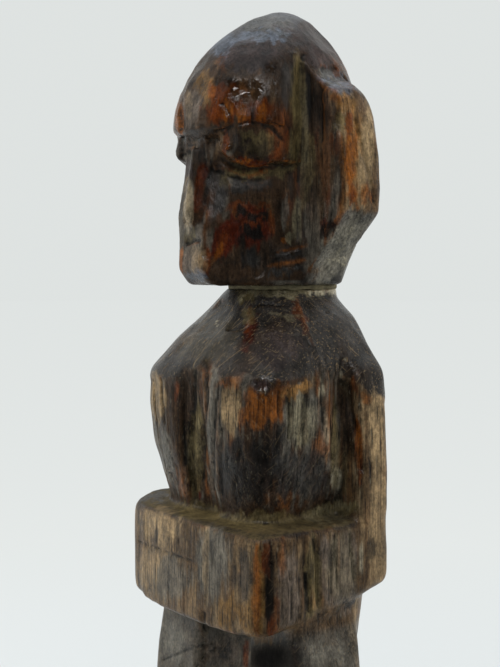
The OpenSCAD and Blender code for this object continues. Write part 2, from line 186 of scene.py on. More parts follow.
# Height of the wrinkles in crackled varnish and their size, in millimetres
WRINKLE = 0.05
WRINKLE_CELL = (1.1, 1.0)


class Carving:
    """A node's solid as a fine mesh whose points are moved and painted, in millimetres."""

    def __init__(self, node, name, cell):
        bm = bmesh.new()
        bm.from_mesh(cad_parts[node].data)
        bmesh.ops.remove_doubles(bm, verts=bm.verts, dist=1e-6)
        mesh = bpy.data.meshes.new(name)
        bm.to_mesh(mesh)
        bm.free()
        self.obj = bpy.data.objects.new(name, mesh)
        SCENE.collection.objects.link(self.obj)
        mod = self.obj.modifiers.new("remesh", "REMESH")
        mod.mode = "VOXEL"
        mod.voxel_size = cell * MM
        graph = bpy.context.evaluated_depsgraph_get()
        fine = bpy.data.meshes.new_from_object(self.obj.evaluated_get(graph))
        self.obj.modifiers.clear()
        self.obj.data = fine
        bpy.data.meshes.remove(mesh)
        fine.name = name
        fine.calc_loop_triangles()
        self.mesh = fine
        self.co = values(fine.vertices, "co", 3, float) / MM
        self.tri = values(fine.loop_triangles, "vertices", 3, np.int32)
        self.edge = values(fine.edges, "vertices", 2, np.int32)
        n = len(self.co)
        self.degree = np.bincount(self.edge.ravel(), minlength=n)
        self.tone = np.zeros((n, 3))
        self.rough, self.grain, self.crust, self.nicks, self.crackle = np.zeros((5, n))
        self.look()

    def mean(self, value):
        """Mean over the neighbours of each point."""
        a, b = self.edge[:, 0], self.edge[:, 1]
        if value.ndim == 1:
            total = np.bincount(a, value[b], len(value)) + np.bincount(b, value[a], len(value))
            return total / self.degree
        return np.stack([self.mean(value[:, i]) for i in range(value.shape[1])], axis=1)

    def smooth(self, rounds, weight=1.0):
        """Softens the surface, where weight says."""
        w = np.broadcast_to(weight, (len(self.co),))[:, None]
        for _ in range(rounds):
            self.co = self.co + w * 0.5 * (self.mean(self.co) - self.co)

    def normals(self):
        """The outward direction at each point."""
        p = self.co
        a, b, c = (p[self.tri[:, i]] for i in range(3))
        face = np.cross(b - a, c - a)
        out = np.zeros_like(p)
        for i in range(3):
            for k in range(3):
                out[:, k] += np.bincount(self.tri[:, i], face[:, k], len(p))
        return out / np.maximum(np.linalg.norm(out, axis=1), 1e-9)[:, None]

    def look(self):
        """Refreshes normals, the picking tree and each point's column and row in the photograph."""
        self.no = self.normals()
        self.tree = BVHTree.FromPolygons(self.co.tolist(), self.tri.tolist())
        ray = self.co - EYE
        depth = ray @ FORWARD
        self.u = FRAME_W / 2 + FOCAL_PX * (ray @ RIGHT) / depth
        self.v = FRAME_H / 2 - FOCAL_PX * (ray @ LIFT) / depth
        self.facing = -np.einsum("ij,ij->i", ray, self.no) / np.linalg.norm(ray, axis=1)

    def pick(self, u, v):
        """The surface point that the photograph shows at column u, row v."""
        way = FORWARD * FOCAL_PX + RIGHT * (u - FRAME_W / 2) - LIFT * (v - FRAME_H / 2)
        hit = self.tree.ray_cast(Vector(EYE), Vector(way).normalized())[0]
        return None if hit is None else np.array(hit)

    def push(self, amount):
        """Moves each point along its normal."""
        self.co = self.co + self.no * np.asarray(amount)[:, None]

    def trail(self, points):
        """Surface points under a line of columns and rows."""
        found = []
        for (u0, v0), (u1, v1) in zip(points, points[1:]):
            count = max(2, int(math.hypot(u1 - u0, v1 - v0) / TRAIL_STEP))
            for t in np.arange(count) / count:
                hit = self.pick(u0 + (u1 - u0) * t, v0 + (v1 - v0) * t)
                if hit is not None:
                    found.append(hit)
        return np.array(found)

    def near(self, trail, reach):
        """Indices and distances of the points within reach of a trail."""
        low = trail.min(0) - reach
        high = trail.max(0) + reach
        index = np.nonzero(((self.co > low) & (self.co < high)).all(1))[0]
        best = np.full(len(index), np.inf)
        for point in trail:
            best = np.minimum(best, ((self.co[index] - point) ** 2).sum(1))
        best = np.sqrt(best)
        keep = best < reach
        return index[keep], best[keep]

    def groove(self, points, width, depth, mirror=False, seed=0, rag=0.35):
        """Cuts a line drawn in the photograph, or raises it if depth is negative; returns its mask."""
        mask = np.zeros(len(self.co))
        trail = self.trail(points)
        if len(trail) == 0:
            return mask
        sides = [trail]
        if mirror:
            sides.append(trail * np.array((-1.0, 1.0, 1.0)))
        for line in sides:
            index, far = self.near(line, width * LINE_REACH)
            uneven = 1 + rag * noise(self.co[index] / LINE_SWELL, seed + 5)
            w = np.exp(-(far / (width * np.maximum(uneven, 0.3))) ** 2)
            mask[index] = np.maximum(mask[index], w)
        self.co = self.co - self.no * (mask * depth)[:, None]
        return mask

    def grooves(self, lines):
        """Cuts the lines of a table, such as HEAD_LINES."""
        for points, width, depth, *mirror in lines:
            self.groove(points, width, depth, bool(mirror), seed=len(points))

    def spot(self, u, v, ru, rv, turn=0.0, soft=2.0):
        """A soft patch round column u, row v, with half sizes in pixels."""
        hit = self.pick(u, v)
        if hit is None:
            return np.zeros(len(self.co))
        c, s = math.cos(math.radians(turn)), math.sin(math.radians(turn))
        du, dv = self.u - u, self.v - v
        x = (du * c + dv * s) / ru
        y = (dv * c - du * s) / rv
        w = np.exp(-((x * x + y * y) ** (soft / 2)))
        off = np.abs((self.co - hit) @ FORWARD) / SPOT_DEEP
        return w * np.exp(-off ** 4) * ramp(self.facing, -0.1, 0.15)

    def spots(self, places, soft):
        """The patches of a table in one mask."""
        mask = np.zeros(len(self.co))
        for place in places:
            mask = np.maximum(mask, self.spot(*place, soft=soft))
        return mask

    def chisel(self, count, tool, seed, allow):
        """Scoops shallow upright gouge marks, spread evenly over the allowed surface."""
        pool = np.nonzero(allow > 0.5)[0]
        order = np.argsort(lattice(pool, pool * 3 + 1, pool * 7 + 2, seed))[:count]
        start, normal = self.co.copy(), self.no
        cut = np.zeros(len(self.co))
        for i in pool[order]:
            near = np.nonzero(np.abs(start[:, 2] - start[i, 2]) < GOUGE_REACH)[0]
            away = start[near] - start[i]
            rise = away @ normal[i]
            flat = away - rise[:, None] * normal[i]
            spread = (flat[:, 0] ** 2 + flat[:, 1] ** 2) / (2 * tool) + flat[:, 2] ** 2 / (10 * tool)
            bite = GOUGE * (0.5 + lattice(i, 5, 9, seed))
            over = rise + bite - spread
            over[(spread > 1.3 * bite) | (np.abs(rise) > 3 * bite) | ((normal[near] @ normal[i]) < 0.6)] = 0
            cut[near] = np.maximum(cut[near], over)
        self.push(-np.clip(cut, 0, 3 * GOUGE) * allow)
        self.smooth(1)
        self.look()

    def wrinkle(self, places, seed):
        """Wrinkles the varnish in the given places and keeps where that is."""
        self.crackle = self.spots(places, 3.0)
        self.push(WRINKLE * self.crackle * layered(self.co, WRINKLE_CELL, 2, seed))
        self.look()

    def shave(self, direction, depth, within):
        """Shaves a flat across the furthest of the points within, in a direction."""
        n = np.asarray(direction, dtype=float)
        n = n / np.linalg.norm(n)
        far = self.co @ n
        over = far - (far[within].max() - depth)
        cut = np.where(within & (over > 0), over, 0.0)
        self.co = self.co - cut[:, None] * n

    def relief(self, rounds):
        """How far each point stands proud of its surroundings, in millimetres."""
        soft = self.co
        for _ in range(rounds):
            soft = 0.5 * soft + 0.5 * self.mean(soft)
        return np.einsum("ij,ij->i", self.co - soft, self.no)

    def tint(self, colour, amount):
        """Mixes a colour in by amount."""
        w = np.clip(amount, 0, 1)[:, None]
        self.tone = self.tone * (1 - w) + np.asarray(colour) * w

    def dabs(self, marks, seed):
        """Lays soft ragged patches: column, row, half sizes in pixels, colour, per cent of it, any turn."""
        straight = self.u, self.v
        self.u = self.u + 3.0 * layered(self.co, (1.6, 9.0), 3, seed + 150)
        self.v = self.v + 9.0 * layered(self.co, (0.8, 4.0), 3, seed + 160)
        for i, (u, v, ru, rv, colour, share, *turn) in enumerate(marks):
            w = self.spot(u, v, ru, rv, *turn, soft=3.0)
            fibres = layered(self.co, (0.9, 7.0), 2, seed + i)
            crumbs = layered(self.co, (1.6, 1.6), 3, seed + i)
            rag = 0.9 * (0.6 * fibres + 0.4 * crumbs)
            self.tint(colour, ramp(w + rag * ramp(w, 0.02, 0.3), 0.22, 0.7) * (share / 100))
        self.u, self.v = straight

    def store(self):
        """Writes points and paint back to the mesh."""
        self.mesh.vertices.foreach_set("co", (self.co * MM).astype(np.float32).ravel())
        finish = self.rough, self.grain, self.crust
        wear = self.nicks, self.crackle
        for label, parts in (("tone", self.tone.T), ("finish", finish), ("nicks", wear)):
            data = np.ones((len(self.co), 4), dtype=np.float32)
            data[:, :len(parts)] = np.clip(parts, 0, 1).T
            layer = self.mesh.color_attributes.new(label, "FLOAT_COLOR", "POINT")
            layer.data.foreach_set("color", data.ravel())
        self.mesh.polygons.foreach_set("use_smooth", np.ones(len(self.mesh.polygons), dtype=bool))
        self.mesh.update()


# Flats on the skull: direction, and depth below the furthest point there
SKULL_FLATS = (
    ((0.35, -0.55, 0.9), 0.55), ((-0.4, -0.5, 0.9), 0.5), ((0.75, -0.75, 0.55), 0.35),
    ((-0.8, -0.7, 0.5), 0.5), ((0.1, -0.95, 0.35), 0.35), ((0.8, 0.35, 0.75), 0.6), ((-0.8, 0.4, 0.7), 0.6),
    ((0.95, 0.3, 0.25), 0.4), ((0.15, 0.8, 0.8), 0.6), ((-0.35, 0.95, 0.4), 0.5), ((0.5, 0.95, 0.25), 0.5),
    ((0.0, 0.3, 1.0), 0.4),
)

# Places worn soft: column, row, half sizes in pixels
HEAD_MELT = ((208, 156, 12, 14), (230, 148, 8, 14), (195, 244, 15, 9))

# Swellings and hollows: column, row, half sizes in pixels, turn, height
HEAD_SWELLS = (
    (203, 144, 14, 6, -8, 0.5), (190, 205, 6, 18, 0, 0.35), (340, 122, 7, 11, 0, -0.6),
    (215, 185, 8, 22, 10, -0.5), (252, 147, 20, 13, 8, 0.35), (262, 188, 20, 8, 0, 0.3),
    (246, 180, 22, 4, 5, -0.35), (198, 259, 6, 8, 0, 0.2), (300, 225, 12, 14, 20, -0.3),
    (230, 95, 20, 16, 0, 0.25),
)

# Carved lines: points as columns and rows, half width, depth, and True where the other side has it too
HEAD_LINES = (
    (((227, 128), (236, 124), (247, 122), (260, 124), (272, 128), (284, 140)), 0.4, 0.5, True),
    (((219, 158), (228, 162), (240, 166), (254, 169), (264, 168)), 0.45, 0.45, True),
    (((224, 167), (236, 172), (250, 175), (264, 173), (280, 166), (301, 160)), 0.5, -0.2, True),
    (((226, 175), (240, 179), (256, 180), (270, 177)), 0.5, 0.2),
    (((213, 164), (210, 182), (206, 200), (201, 222)), 0.4, 0.35, True),
    (((184, 247), (196, 248), (205, 247)), 0.35, 0.1),
    (((355, 118), (358, 132), (363, 150), (367, 168), (372, 190), (375, 204)), 0.26, 0.5),
    (((351, 100), (355, 118)), 0.25, 0.25),
    (((289, 72), (290, 110), (289, 150)), 0.5, 0.15),
    (((310, 75), (310, 110), (309, 150)), 0.45, 0.3),
    (((297, 140), (297, 180), (298, 240)), 0.45, 0.25),
    (((318, 100), (319, 140), (318, 200)), 0.35, 0.2),
    (((330, 120), (330, 160), (329, 205)), 0.35, 0.18),
    (((294, 54), (300, 58), (307, 66), (314, 75), (322, 84), (331, 92)), 0.35, -0.3),
    (((270, 254), (290, 250), (308, 244)), 0.4, 0.25),
    (((275, 268), (292, 266), (306, 262)), 0.35, 0.2),
    (((225, 262), (250, 264), (276, 262)), 0.35, 0.18),
    (((250, 176), (246, 183), (238, 190)), 0.3, -0.25),
    (((272, 205), (273, 225), (270, 246)), 0.4, 0.2),
    (((253, 112), (252, 122)), 0.3, 0.3),
    (((182, 96), (183, 112), (182, 130)), 0.25, 0.25),
)

# Heights above the seam: where the skull begins and where its flats begin, in millimetres
SKULL_FADE = (26, 31)
FLATS_FROM = 28.5

# Gouge marks: depth in millimetres, then number, radius of the tool and seed on the head and on the body
GOUGE = 0.16
HEAD_GOUGES = (260, 14.0, 5)
BODY_GOUGES = (340, 16.0, 6)


def carve_head():
    """The head with knife flats, swellings, carved lines, gouge marks, grain and wrinkled varnish."""
    c = Carving("head", "carved_head", HEAD_CELL)
    y, up = c.co[:, 1], c.co[:, 2] - SEAM
    skull = ramp(up, *SKULL_FADE)
    face = ramp(-y, -2, 1) * (1 - ramp(up, 27, 29))
    back = ramp(y, 8, 11) * ramp(up, 12, 15)
    c.smooth(3)
    c.smooth(12, skull * 0.9)
    c.smooth(14, face * 0.8)
    c.smooth(12, 1 - ramp(up, 1.0, 4.0))
    c.smooth(20, back * 0.8)
    c.look()

    flats = c.co[:, 2] - SEAM > FLATS_FROM
    for direction, depth in SKULL_FLATS:
        c.shave(direction, depth, flats)
    c.smooth(8, skull * 0.9)
    c.look()
    c.push(0.45 * ramp(np.abs(c.co[:, 0]), 13, 16))
    c.look()
    c.push(sum(height * c.spot(*place) for *place, height in HEAD_SWELLS))
    c.smooth(1)
    c.look()
    c.grooves(HEAD_LINES)
    c.smooth(1)
    c.smooth(40, c.spots(HEAD_MELT, 4.0))
    c.look()
    c.chisel(*HEAD_GOUGES, np.ones(len(c.co)))

    # Slight waves of hand carving, and upright grain
    c.push(0.16 * layered(c.co, (7, 9), 2, 41) + 0.07 * layered(c.co, (1.3, 11), 2, 42))
    c.look()
    c.wrinkle(HEAD_CRACKLE, 45)
    return c


# Patches of colour on the head, then of dust, wear and painted highlight over them, as in Carving.dabs; the
# bluish patches are painted sheen
HEAD_DABS = (
    (262, 22, 34, 9, GREY, 50), (262, 36, 26, 5, SHEEN_BLUE, 90), (224, 44, 15, 11, SHEEN_BLUE, 80, -40),
    (252, 58, 30, 15, PLUM, 95), (318, 56, 16, 12, PLUM, 80, 40), (330, 40, 12, 14, GREY, 60, 50),
    (338, 82, 22, 8, SHEEN_BLUE, 75, 25), (330, 76, 16, 4, GREY, 70, 25), (205, 88, 10, 18, HONEY, 70, -10),
    (221, 96, 14, 14, RUST, 90), (212, 90, 5, 12, AMBER, 50), (240, 112, 36, 11, RUST, 95),
    (214, 112, 8, 12, RUST, 80), (228, 110, 5, 13, AMBER, 70), (243, 114, 6, 10, AMBER, 60),
    (264, 112, 7, 13, RUST, 95), (262, 114, 4, 9, AMBER, 60), (253, 117, 2.5, 7, BLACK, 80),
    (178, 116, 5, 22, AMBER, 60), (192, 106, 9, 20, MAUVE, 80), (189, 104, 4, 16, TAN, 25),
    # The black band at column 203, row 130 along the brow's lower edge is painted shade under the brow.
    (203, 130, 14, 4, BLACK, 50, 10), (218, 147, 4, 11, BROWN, 70, 8), (254, 146, 26, 14, SOOT, 80, 10),
    (258, 138, 20, 6, OLIVE, 55, 10), (227, 143, 4, 16, RUST, 80, 6), (250, 163, 20, 3.5, RUST, 95, 8),
    (244, 162, 12, 2.5, AMBER, 60, 8), (276, 153, 6, 6, RUST, 70, -40), (292, 148, 6, 18, OLIVE, 80),
    (287, 145, 2.5, 14, RUST, 70), (254, 173, 40, 4, OLIVE, 75, -2), (285, 167, 18, 3, OLIVE, 80, -12),
    (189, 172, 4, 14, PLUM, 80, 4), (201, 178, 6, 16, RED, 90, 10), (198, 200, 5, 12, RED, 95, 10),
    # The mauve and tan strip at columns 187 to 188 down the front of the nose is partly its colour, partly a
    # painted highlight.
    (188, 206, 7, 22, MAUVE, 90, 4), (187, 210, 5, 16, TAN, 60, 4), (181, 212, 4, 30, GREY, 60),
    (216, 190, 10, 26, SOOT, 70, 8), (220, 195, 5, 26, SLATE, 80, 8), (226, 205, 3, 16, GREY, 40, 10),
    (211, 238, 8, 14, GREY, 50, 15), (194, 262, 9, 14, MAUVE, 60), (190, 236, 7, 7, OLIVE, 60),
    (255, 192, 30, 12, UMBER, 75), (242, 186, 14, 9, SLATE, 80), (262, 186, 12, 6, SLATE, 70, -10),
    (228, 178, 10, 8, OLIVE, 50), (226, 240, 13, 24, RED, 95, 25), (222, 246, 6, 17, RUST, 50, 25),
    (250, 226, 22, 20, RED, 90), (218, 254, 4, 12, AMBER, 50, 25), (236, 212, 5, 7, AMBER, 50, 10),
    (262, 206, 8, 3, RUST, 70), (250, 224, 16, 3, RUST, 60), (238, 207, 12, 4, RUST, 70),
    (271, 222, 2.5, 16, RUST, 80), (241, 214, 8, 5, BLACK, 95), (257, 217, 12, 4, BLACK, 90, -6),
    (255, 233, 16, 6, BLACK, 95, 5), (240, 241, 5, 6, BLACK, 70, 10), (266, 226, 6, 3, RED, 80),
    (284, 214, 4, 16, GREY, 70), (297, 222, 5, 28, KHAKI, 55), (279, 226, 4, 14, UMBER, 70),
    (284, 240, 6, 5, AMBER, 70), (290, 238, 3, 5, KHAKI, 70), (240, 272, 34, 9, UMBER, 80),
    (252, 258, 9, 9, SLATE, 90), (287, 256, 18, 4, SLATE, 90, -8), (288, 250, 17, 1.6, UMBER, 90, -14),
    (285, 263, 16, 1.8, UMBER, 80, -7), (286, 270, 16, 4, SLATE, 90, -4), (242, 260, 2, 12, BLACK, 80),
    (265, 262, 3, 10, BLACK, 70), (206, 262, 4, 16, RUST, 85, 8), (199, 260, 4, 8, TAN, 40),
    (182, 262, 2.5, 14, AMBER, 70), (197, 276, 9, 6, SHEEN_BLUE, 70), (330, 228, 13, 12, RED, 80, 30),
    (330, 230, 9, 9, BLACK, 80, 30), (318, 160, 16, 56, UMBER, 85), (326, 170, 4, 40, RUST, 50),
    (300, 104, 5, 40, MOSS, 70), (296, 90, 6, 30, OLIVE, 70), (309, 97, 3, 22, BLACK, 85),
    (288, 85, 7, 26, SLATE, 70), (322, 110, 8, 22, UMBER, 70), (305, 130, 3, 40, KHAKI, 35),
    (319, 150, 2.5, 26, RED, 70), (340, 122, 8, 10, OLIVE, 60), (338, 98, 10, 6, AMBER, 50, 10),
    (366, 150, 8, 50, TAN, 95, 5), (350, 155, 6.5, 30, RUST, 98, 2), (350, 158, 4, 24, AMBER, 60, 2),
    (350, 120, 4, 14, RUST, 70, 10), (333, 145, 5, 14, RUST, 60), (360, 194, 13, 10, AMBER, 75),
    (352, 192, 5, 12, RUST, 80), (362, 110, 8, 12, BROWN, 70, -30), (364, 187, 2.5, 2.5, BLACK, 80),
    # The grey patch at column 342, row 246 on the bevel under the ear is partly painted reflection of the
    # pale floor.
    (342, 246, 18, 34, GREY, 90, 31), (344, 244, 10, 20, PALE, 12, 31), (334, 261, 12, 1.2, PALE, 60),
    (352, 232, 1.2, 24, PALE, 45, 30), (320, 272, 14, 7, BROWN, 50),
)
HEAD_DUST_AND_HIGHLIGHT = (
    (366, 150, 8, 50, TAN, 80, 5), (298, 100, 7, 50, MOSS, 60), (322, 170, 12, 46, BROWN, 40),
    # The grey patch at column 342, row 247 on the bevel under the ear is partly painted reflection of the
    # pale floor.
    (307, 168, 7, 36, MOSS, 50), (342, 247, 17, 42, GREY, 90, 31), (346, 242, 1.5, 22, PALE, 50, 27),
    (327, 230, 11, 6, BLACK, 80, -36), (336, 261, 12, 1.5, PALE, 60), (354, 150, 8, 38, GOLD, 65, 2),
    (346, 104, 10, 8, GOLD, 60, 25), (351, 158, 6, 32, AMBER, 80, 2), (188, 206, 6, 22, MAUVE, 70, 4),
    # The tan and pale strip at column 188 down the front of the nose is partly a painted highlight.
    (188, 202, 5, 28, TAN, 50, 4), (188, 205, 4, 24, PALE, 35, 4), (199, 190, 5, 22, RUST, 50, 8),
    (209, 186, 2.5, 22, BLACK, 70, 8), (256, 148, 19, 9, OLIVE, 30, 8), (250, 163, 19, 2.2, RED, 80, 8),
    (198, 260, 9, 15, TAN, 35), (250, 262, 10, 8, SLATE, 40), (287, 257, 17, 3, SLATE, 60, -8),
    (288, 255, 18, 4, SOOT, 80, -10), (285, 270, 16, 3, SLATE, 60, -7), (342, 247, 16, 40, PALE, 12, 31),
)

# Worn bright edges of the bars on the jaw: columns and rows
JAW_EDGES = (((278, 252), (292, 249), (308, 245)), ((268, 266), (286, 263), (306, 260)))

# Dull crusted places, crackled varnish and the smooth flat of the ear: column, row, half sizes in pixels
HEAD_DULL = (
    (297, 108, 14, 56), (205, 152, 18, 9), (258, 172, 46, 7), (300, 200, 16, 44), (244, 58, 34, 20),
    (250, 184, 24, 7),
)
HEAD_CRACKLE = (
    (257, 88, 8, 13), (239, 88, 14, 10), (270, 66, 6, 6), (198, 123, 8, 4), (206, 141, 8, 5),
    (222, 140, 8, 8),
)
EAR_FLAT = (356, 150, 16, 50)


def paint_head(c):
    """Colour, gloss and wear of the head."""
    p = c.co
    up = p[:, 2] - SEAM
    side = np.abs(p[:, 0])
    nx, ny, nz = c.no.T
    edge = c.relief(6)
    hollow = -c.relief(45)
    streak = layered(p, (1.0, 13), 3, 3)
    cloud = layered(p, (6, 11), 3, 9)
    blot = layered(p, (2.4, 3.4), 3, 15)
    c.tone[:] = UMBER
    c.tint(BROWN, ramp(streak + 0.4 * cloud, 0.05, 0.6) * 0.75)
    c.tint(RUST, ramp(cloud + 0.3 * streak, 0.1, 0.6) * 0.6)
    c.tint(SOOT, ramp(-cloud + 0.4 * streak, 0.1, 0.6) * 0.6)
    crown = ramp(up, 37, 43)
    c.tint(PLUM, crown * 0.8)
    # Painted sheen: the upward faces of the crown tinted bluish, as if reflecting the light above
    c.tint(SHEEN_BLUE, ramp(nz, 0.66, 0.9) * crown * (0.4 + 0.3 * cloud))
    ear_side = ramp(side, 14.5, 16.5) * ramp(np.abs(nx), 0.55, 0.8)
    c.tint(BROWN, ear_side * 0.8)
    c.tint(TAN, ear_side * ramp(streak, 0.0, 0.5) * 0.6)
    # Downward faces under the jaw and ear: slate, with grey that is partly painted reflection of the pale
    # floor below
    under = ramp(-nz, 0.12, 0.35) * ramp(side, 7, 9) * (1 - ramp(up, 12, 15))
    c.tint(SLATE, under * 0.9)
    c.tint(GREY, under * ramp(blot + cloud, -0.4, 0.4) * 0.7)
    face = ramp(-ny, 0.8, 0.95) * (1 - ramp(up, 22, 25))
    c.tint(GREY, face * 0.6)
    c.dabs(HEAD_DABS, 200)
    c.tint(AMBER, ramp(edge, 0.03, 0.12) * ramp(cloud, -0.4, 0.3) * 0.6)
    c.tint(OLIVE, ramp(hollow, 0.15, 0.7) * (0.45 + 0.3 * streak))
    c.tint(BLACK, ramp(-edge, 0.03, 0.10) * 0.85)
    c.tint(BLACK, ramp(-blot - 0.4 * streak, 0.35, 0.6) * 0.35)
    c.dabs(HEAD_DUST_AND_HIGHLIGHT, 300)
    for points in JAW_EDGES:
        c.tint(AMBER, c.groove(points, 0.22, 0.0, rag=0.9) * 0.6)
    notch = ramp(side, 9.5, 11) * ramp(-ny, 0.5, 0.8)
    c.rough[:] = 0.28 + 0.14 * ramp(hollow, 0.1, 0.6) + 0.06 * crown + 0.25 * notch * ramp(up, 20, 24)
    for place in HEAD_DULL:
        c.rough += 0.3 * c.spot(*place, soft=3.0)
    c.grain[:] = 0.35 + 0.25 * ear_side + 0.3 * notch
    c.grain *= 1 - 0.6 * c.spot(*EAR_FLAT, soft=3.0)
    c.crust[:] = 0.5 * ramp(hollow, 0.2, 0.8)
    c.nicks[:] = 0.04
    c.crackle += 0.12


# Lower edge of the dark shoulders: columns and rows in the photograph, then angle and height behind
CAPE_EDGE = (
    (156, 375), (165, 379), (181, 377), (195, 368), (210, 358), (221, 379), (235, 377), (249, 373),
    (263, 381), (278, 384), (296, 381), (313, 372), (321, 367), (331, 372), (345, 376), (359, 384),
    (373, 396), (381, 398),
)
CAPE_BACK = (
    (150, 101), (168, 99), (-174, 102), (-158, 98.5), (-140, 101), (-120, 99.5), (-100, 102), (-84, 99),
    (-66, 101.5),
)


def trunk_turn(x, y):
    """Angle about the trunk in degrees, 0 at the front and positive towards its left."""
    return np.degrees(np.arctan2(x, -y))


def cape_level(c):
    """Height of the shoulders' worn lower edge at each point's angle about the trunk."""
    hits = [c.pick(u, v) for u, v in CAPE_EDGE]
    known = [(trunk_turn(*hit[:2]), hit[2]) for hit in hits if hit is not None]
    turns, levels = zip(*sorted((*known, *CAPE_BACK)))
    around = np.interp(trunk_turn(*c.co.T[:2]), turns, levels, period=360)
    depth = (c.co - EYE) @ FORWARD
    seen = c.co[:, 2] - (np.interp(c.u, *zip(*CAPE_EDGE)) - c.v) * depth / FOCAL_PX
    near = ramp(c.facing, 0.02, 0.2) * ramp(c.co @ FORWARD, 4, -2)
    return around * (1 - near) + seen * near


# Carved lines and splits of the body, as on the head
BODY_LINES = (
    (((137, 541), (149, 545), (161, 550), (182, 558), (196, 562)), 0.2, 0.28),
    (((315, 540), (317, 560), (318, 590), (319, 606)), 0.45, 0.7),
    (((307, 575), (308, 595), (309, 612)), 0.4, 0.55),
    (((305, 540), (304, 570), (306, 590)), 0.5, 0.4),
    (((335, 536), (336, 560), (338, 588)), 0.35, 0.4),
    (((350, 534), (352, 560), (354, 580)), 0.35, 0.4),
    (((205, 362), (207, 392), (204, 430), (203, 480)), 0.5, 0.6),
    (((195, 372), (194, 410), (191, 460), (196, 500)), 0.45, 0.5),
    (((186, 382), (184, 420), (185, 465)), 0.4, 0.4),
    (((218, 384), (215, 410), (213, 450), (214, 490)), 0.4, 0.4),
    (((148, 385), (149, 400), (151, 418)), 0.3, 0.5),
    (((153, 380), (154, 400), (157, 424)), 0.3, 0.5),
    (((161, 380), (162, 400), (165, 424)), 0.3, 0.5),
    (((323, 372), (322, 395), (324, 430)), 0.35, 0.45),
    (((331, 375), (332, 410), (333, 460)), 0.4, 0.5),
    (((345, 384), (350, 410), (357, 440), (362, 470)), 0.5, 0.6),
    (((289, 395), (289, 420), (288, 440)), 0.3, 0.35),
    (((305, 392), (303, 420), (302, 448)), 0.3, 0.35),
    (((221, 430), (221, 460), (222, 495)), 0.3, 0.3),
    (((203, 614), (203, 622), (205, 630)), 0.6, 0.5),
    (((163, 660), (178, 653), (195, 647), (213, 643)), 0.35, 0.3),
    (((196, 667), (205, 655), (216, 648)), 0.35, 0.3),
    (((296, 300), (305, 325), (314, 348), (322, 366)), 0.5, -0.3),
    (((256, 305), (268, 304), (282, 306)), 0.35, 0.3),
)

# The lobe of varnish in the middle of the chest: column, row, half sizes in pixels, turn
CHEST_LOBE = (262, 392, 10, 6, 15)


def carve_body():
    """The body with worn corners, overhanging shoulders, gouge marks, open grain and splits."""
    c = Carving("body", "carved_body", BODY_CELL)
    c.smooth(3)
    z = c.co[:, 2]
    shoulder = ramp(z - SHELF, 16, 24)
    trunk = ramp(z - SHELF, 3, 5)
    legs = 1 - ramp(z - LEG_TOP, -8, -4)
    neck = ramp(z - SEAM, -4.5, -2)
    c.smooth(26, np.clip(shoulder * 0.9 + trunk * 0.5 + legs * 0.3, 0, 1) * (1 - neck))

    # Edges and corners worn round
    x, y, z = c.co.T
    x = np.abs(x)
    out = np.maximum(ramp(x, 16, 20), ramp(-y, 11, 15))
    rim = band(z - SHELF, -6, -2.5, 0.3, 1.5) * out
    corner = ramp(x, 14, 17) * ramp(-y, 9, 12) * band(z, LEG_TOP - 3, LEG_TOP - 1, SHELF, SHELF + 1)
    elbow = ramp(x, 12, 14) * band(z - SHELF, -3, 0, 3, 7) * ramp(y, -2, 2)
    crease = band(z - SHELF, -1.5, -0.5, 1.5, 4) * (1 - out)
    low_rim = band(z - LEG_TOP, -3, -1, 3, 6) * out
    low_side = ramp(x, 17, 20) * band(z - LEG_TOP, -2, 0, 5, 9)
    c.smooth(14, np.clip(elbow + crease, 0, 1))
    c.smooth(20, np.clip(rim + low_rim * 0.35, 0, 1))
    c.smooth(50, np.maximum(corner, low_side))

    # The block's top rises towards the figure's right
    x, y, z = c.co.T
    lift = ramp(-x, 9, 19) * band(z - SHELF, -5, -0.5, 1, 3) * (1 - ramp(-y, 10, 16))
    c.co = c.co + np.outer(lift, (0, 0, 1.0))
    c.look()
    c.chisel(*BODY_GOUGES, np.clip(shoulder + legs, 0, 1))

    # The shoulders overhang the columns of the chest
    z = c.co[:, 2]
    level = cape_level(c) + 0.5 * layered(c.co, (1.4, 5), 2, 59)
    c.push(-0.3 * band(level - z, -0.2, 1.6, 3, 14) * ramp(z - SHELF, 3, 9))
    c.look()

    # Upright grain opened by age: flutes and splits
    p = c.co
    x, y, z = p.T
    above = ramp(z - SHELF, 1, 3)
    chest = ramp(level - z, -0.5, 1.5) * above
    arm = ramp(np.abs(x), 17.5, 18.5) * ramp(y, 2.5, 4.5)
    block = band(z, LEG_TOP - 1, LEG_TOP + 1, SHELF - 1.2, SHELF - 0.4) * (1 - arm)
    plain_face = ramp(-c.no[:, 1], 0.7, 0.9)
    opened = np.clip(chest * (1 - 0.75 * arm) + block * (0.7 - 0.4 * plain_face), 0, 1)
    opened = opened * ramp(np.hypot(x, y), 9, 12) * (1 - np.abs(c.no[:, 2]))
    flutes = layered(p, (2.1, 34), 2, 60)
    ribs = layered(p, (0.95, 20), 2, 61)
    split = layered(p, (1.9, 30), 2, 62)
    cracks = (1 - ramp(np.abs(split), 0.015, 0.09)) * ramp(layered(p, (3, 14), 2, 63), -0.15, 0.25)
    c.push(opened * (0.26 * flutes + 0.13 * ribs - 0.34 * cracks))
    c.push(0.14 * layered(p, (6, 9), 2, 64))
    ledge = ramp(c.no[:, 2], 0.5, 0.8) * band(z - SHELF, -2, -1, 1, 3)
    c.push(ledge * (0.16 * layered(p, (1.6, 1.6), 3, 65) + 0.2 * layered(p, (6, 6), 2, 66)))
    c.look()
    c.grooves(BODY_LINES)
    c.smooth(1, 0.6)
    c.look()
    c.push(0.6 * c.spot(*CHEST_LOBE))
    c.look()
    c.wrinkle(BODY_CRACKLE, 46)
    frayed = cape_level(c) + 0.6 * layered(c.co, (0.7, 6), 2, 58)
    cape = 1 - ramp(frayed - c.co[:, 2], -0.25, 0.25)
    c.zones = cape, (1 - cape) * above, arm, block
    return c
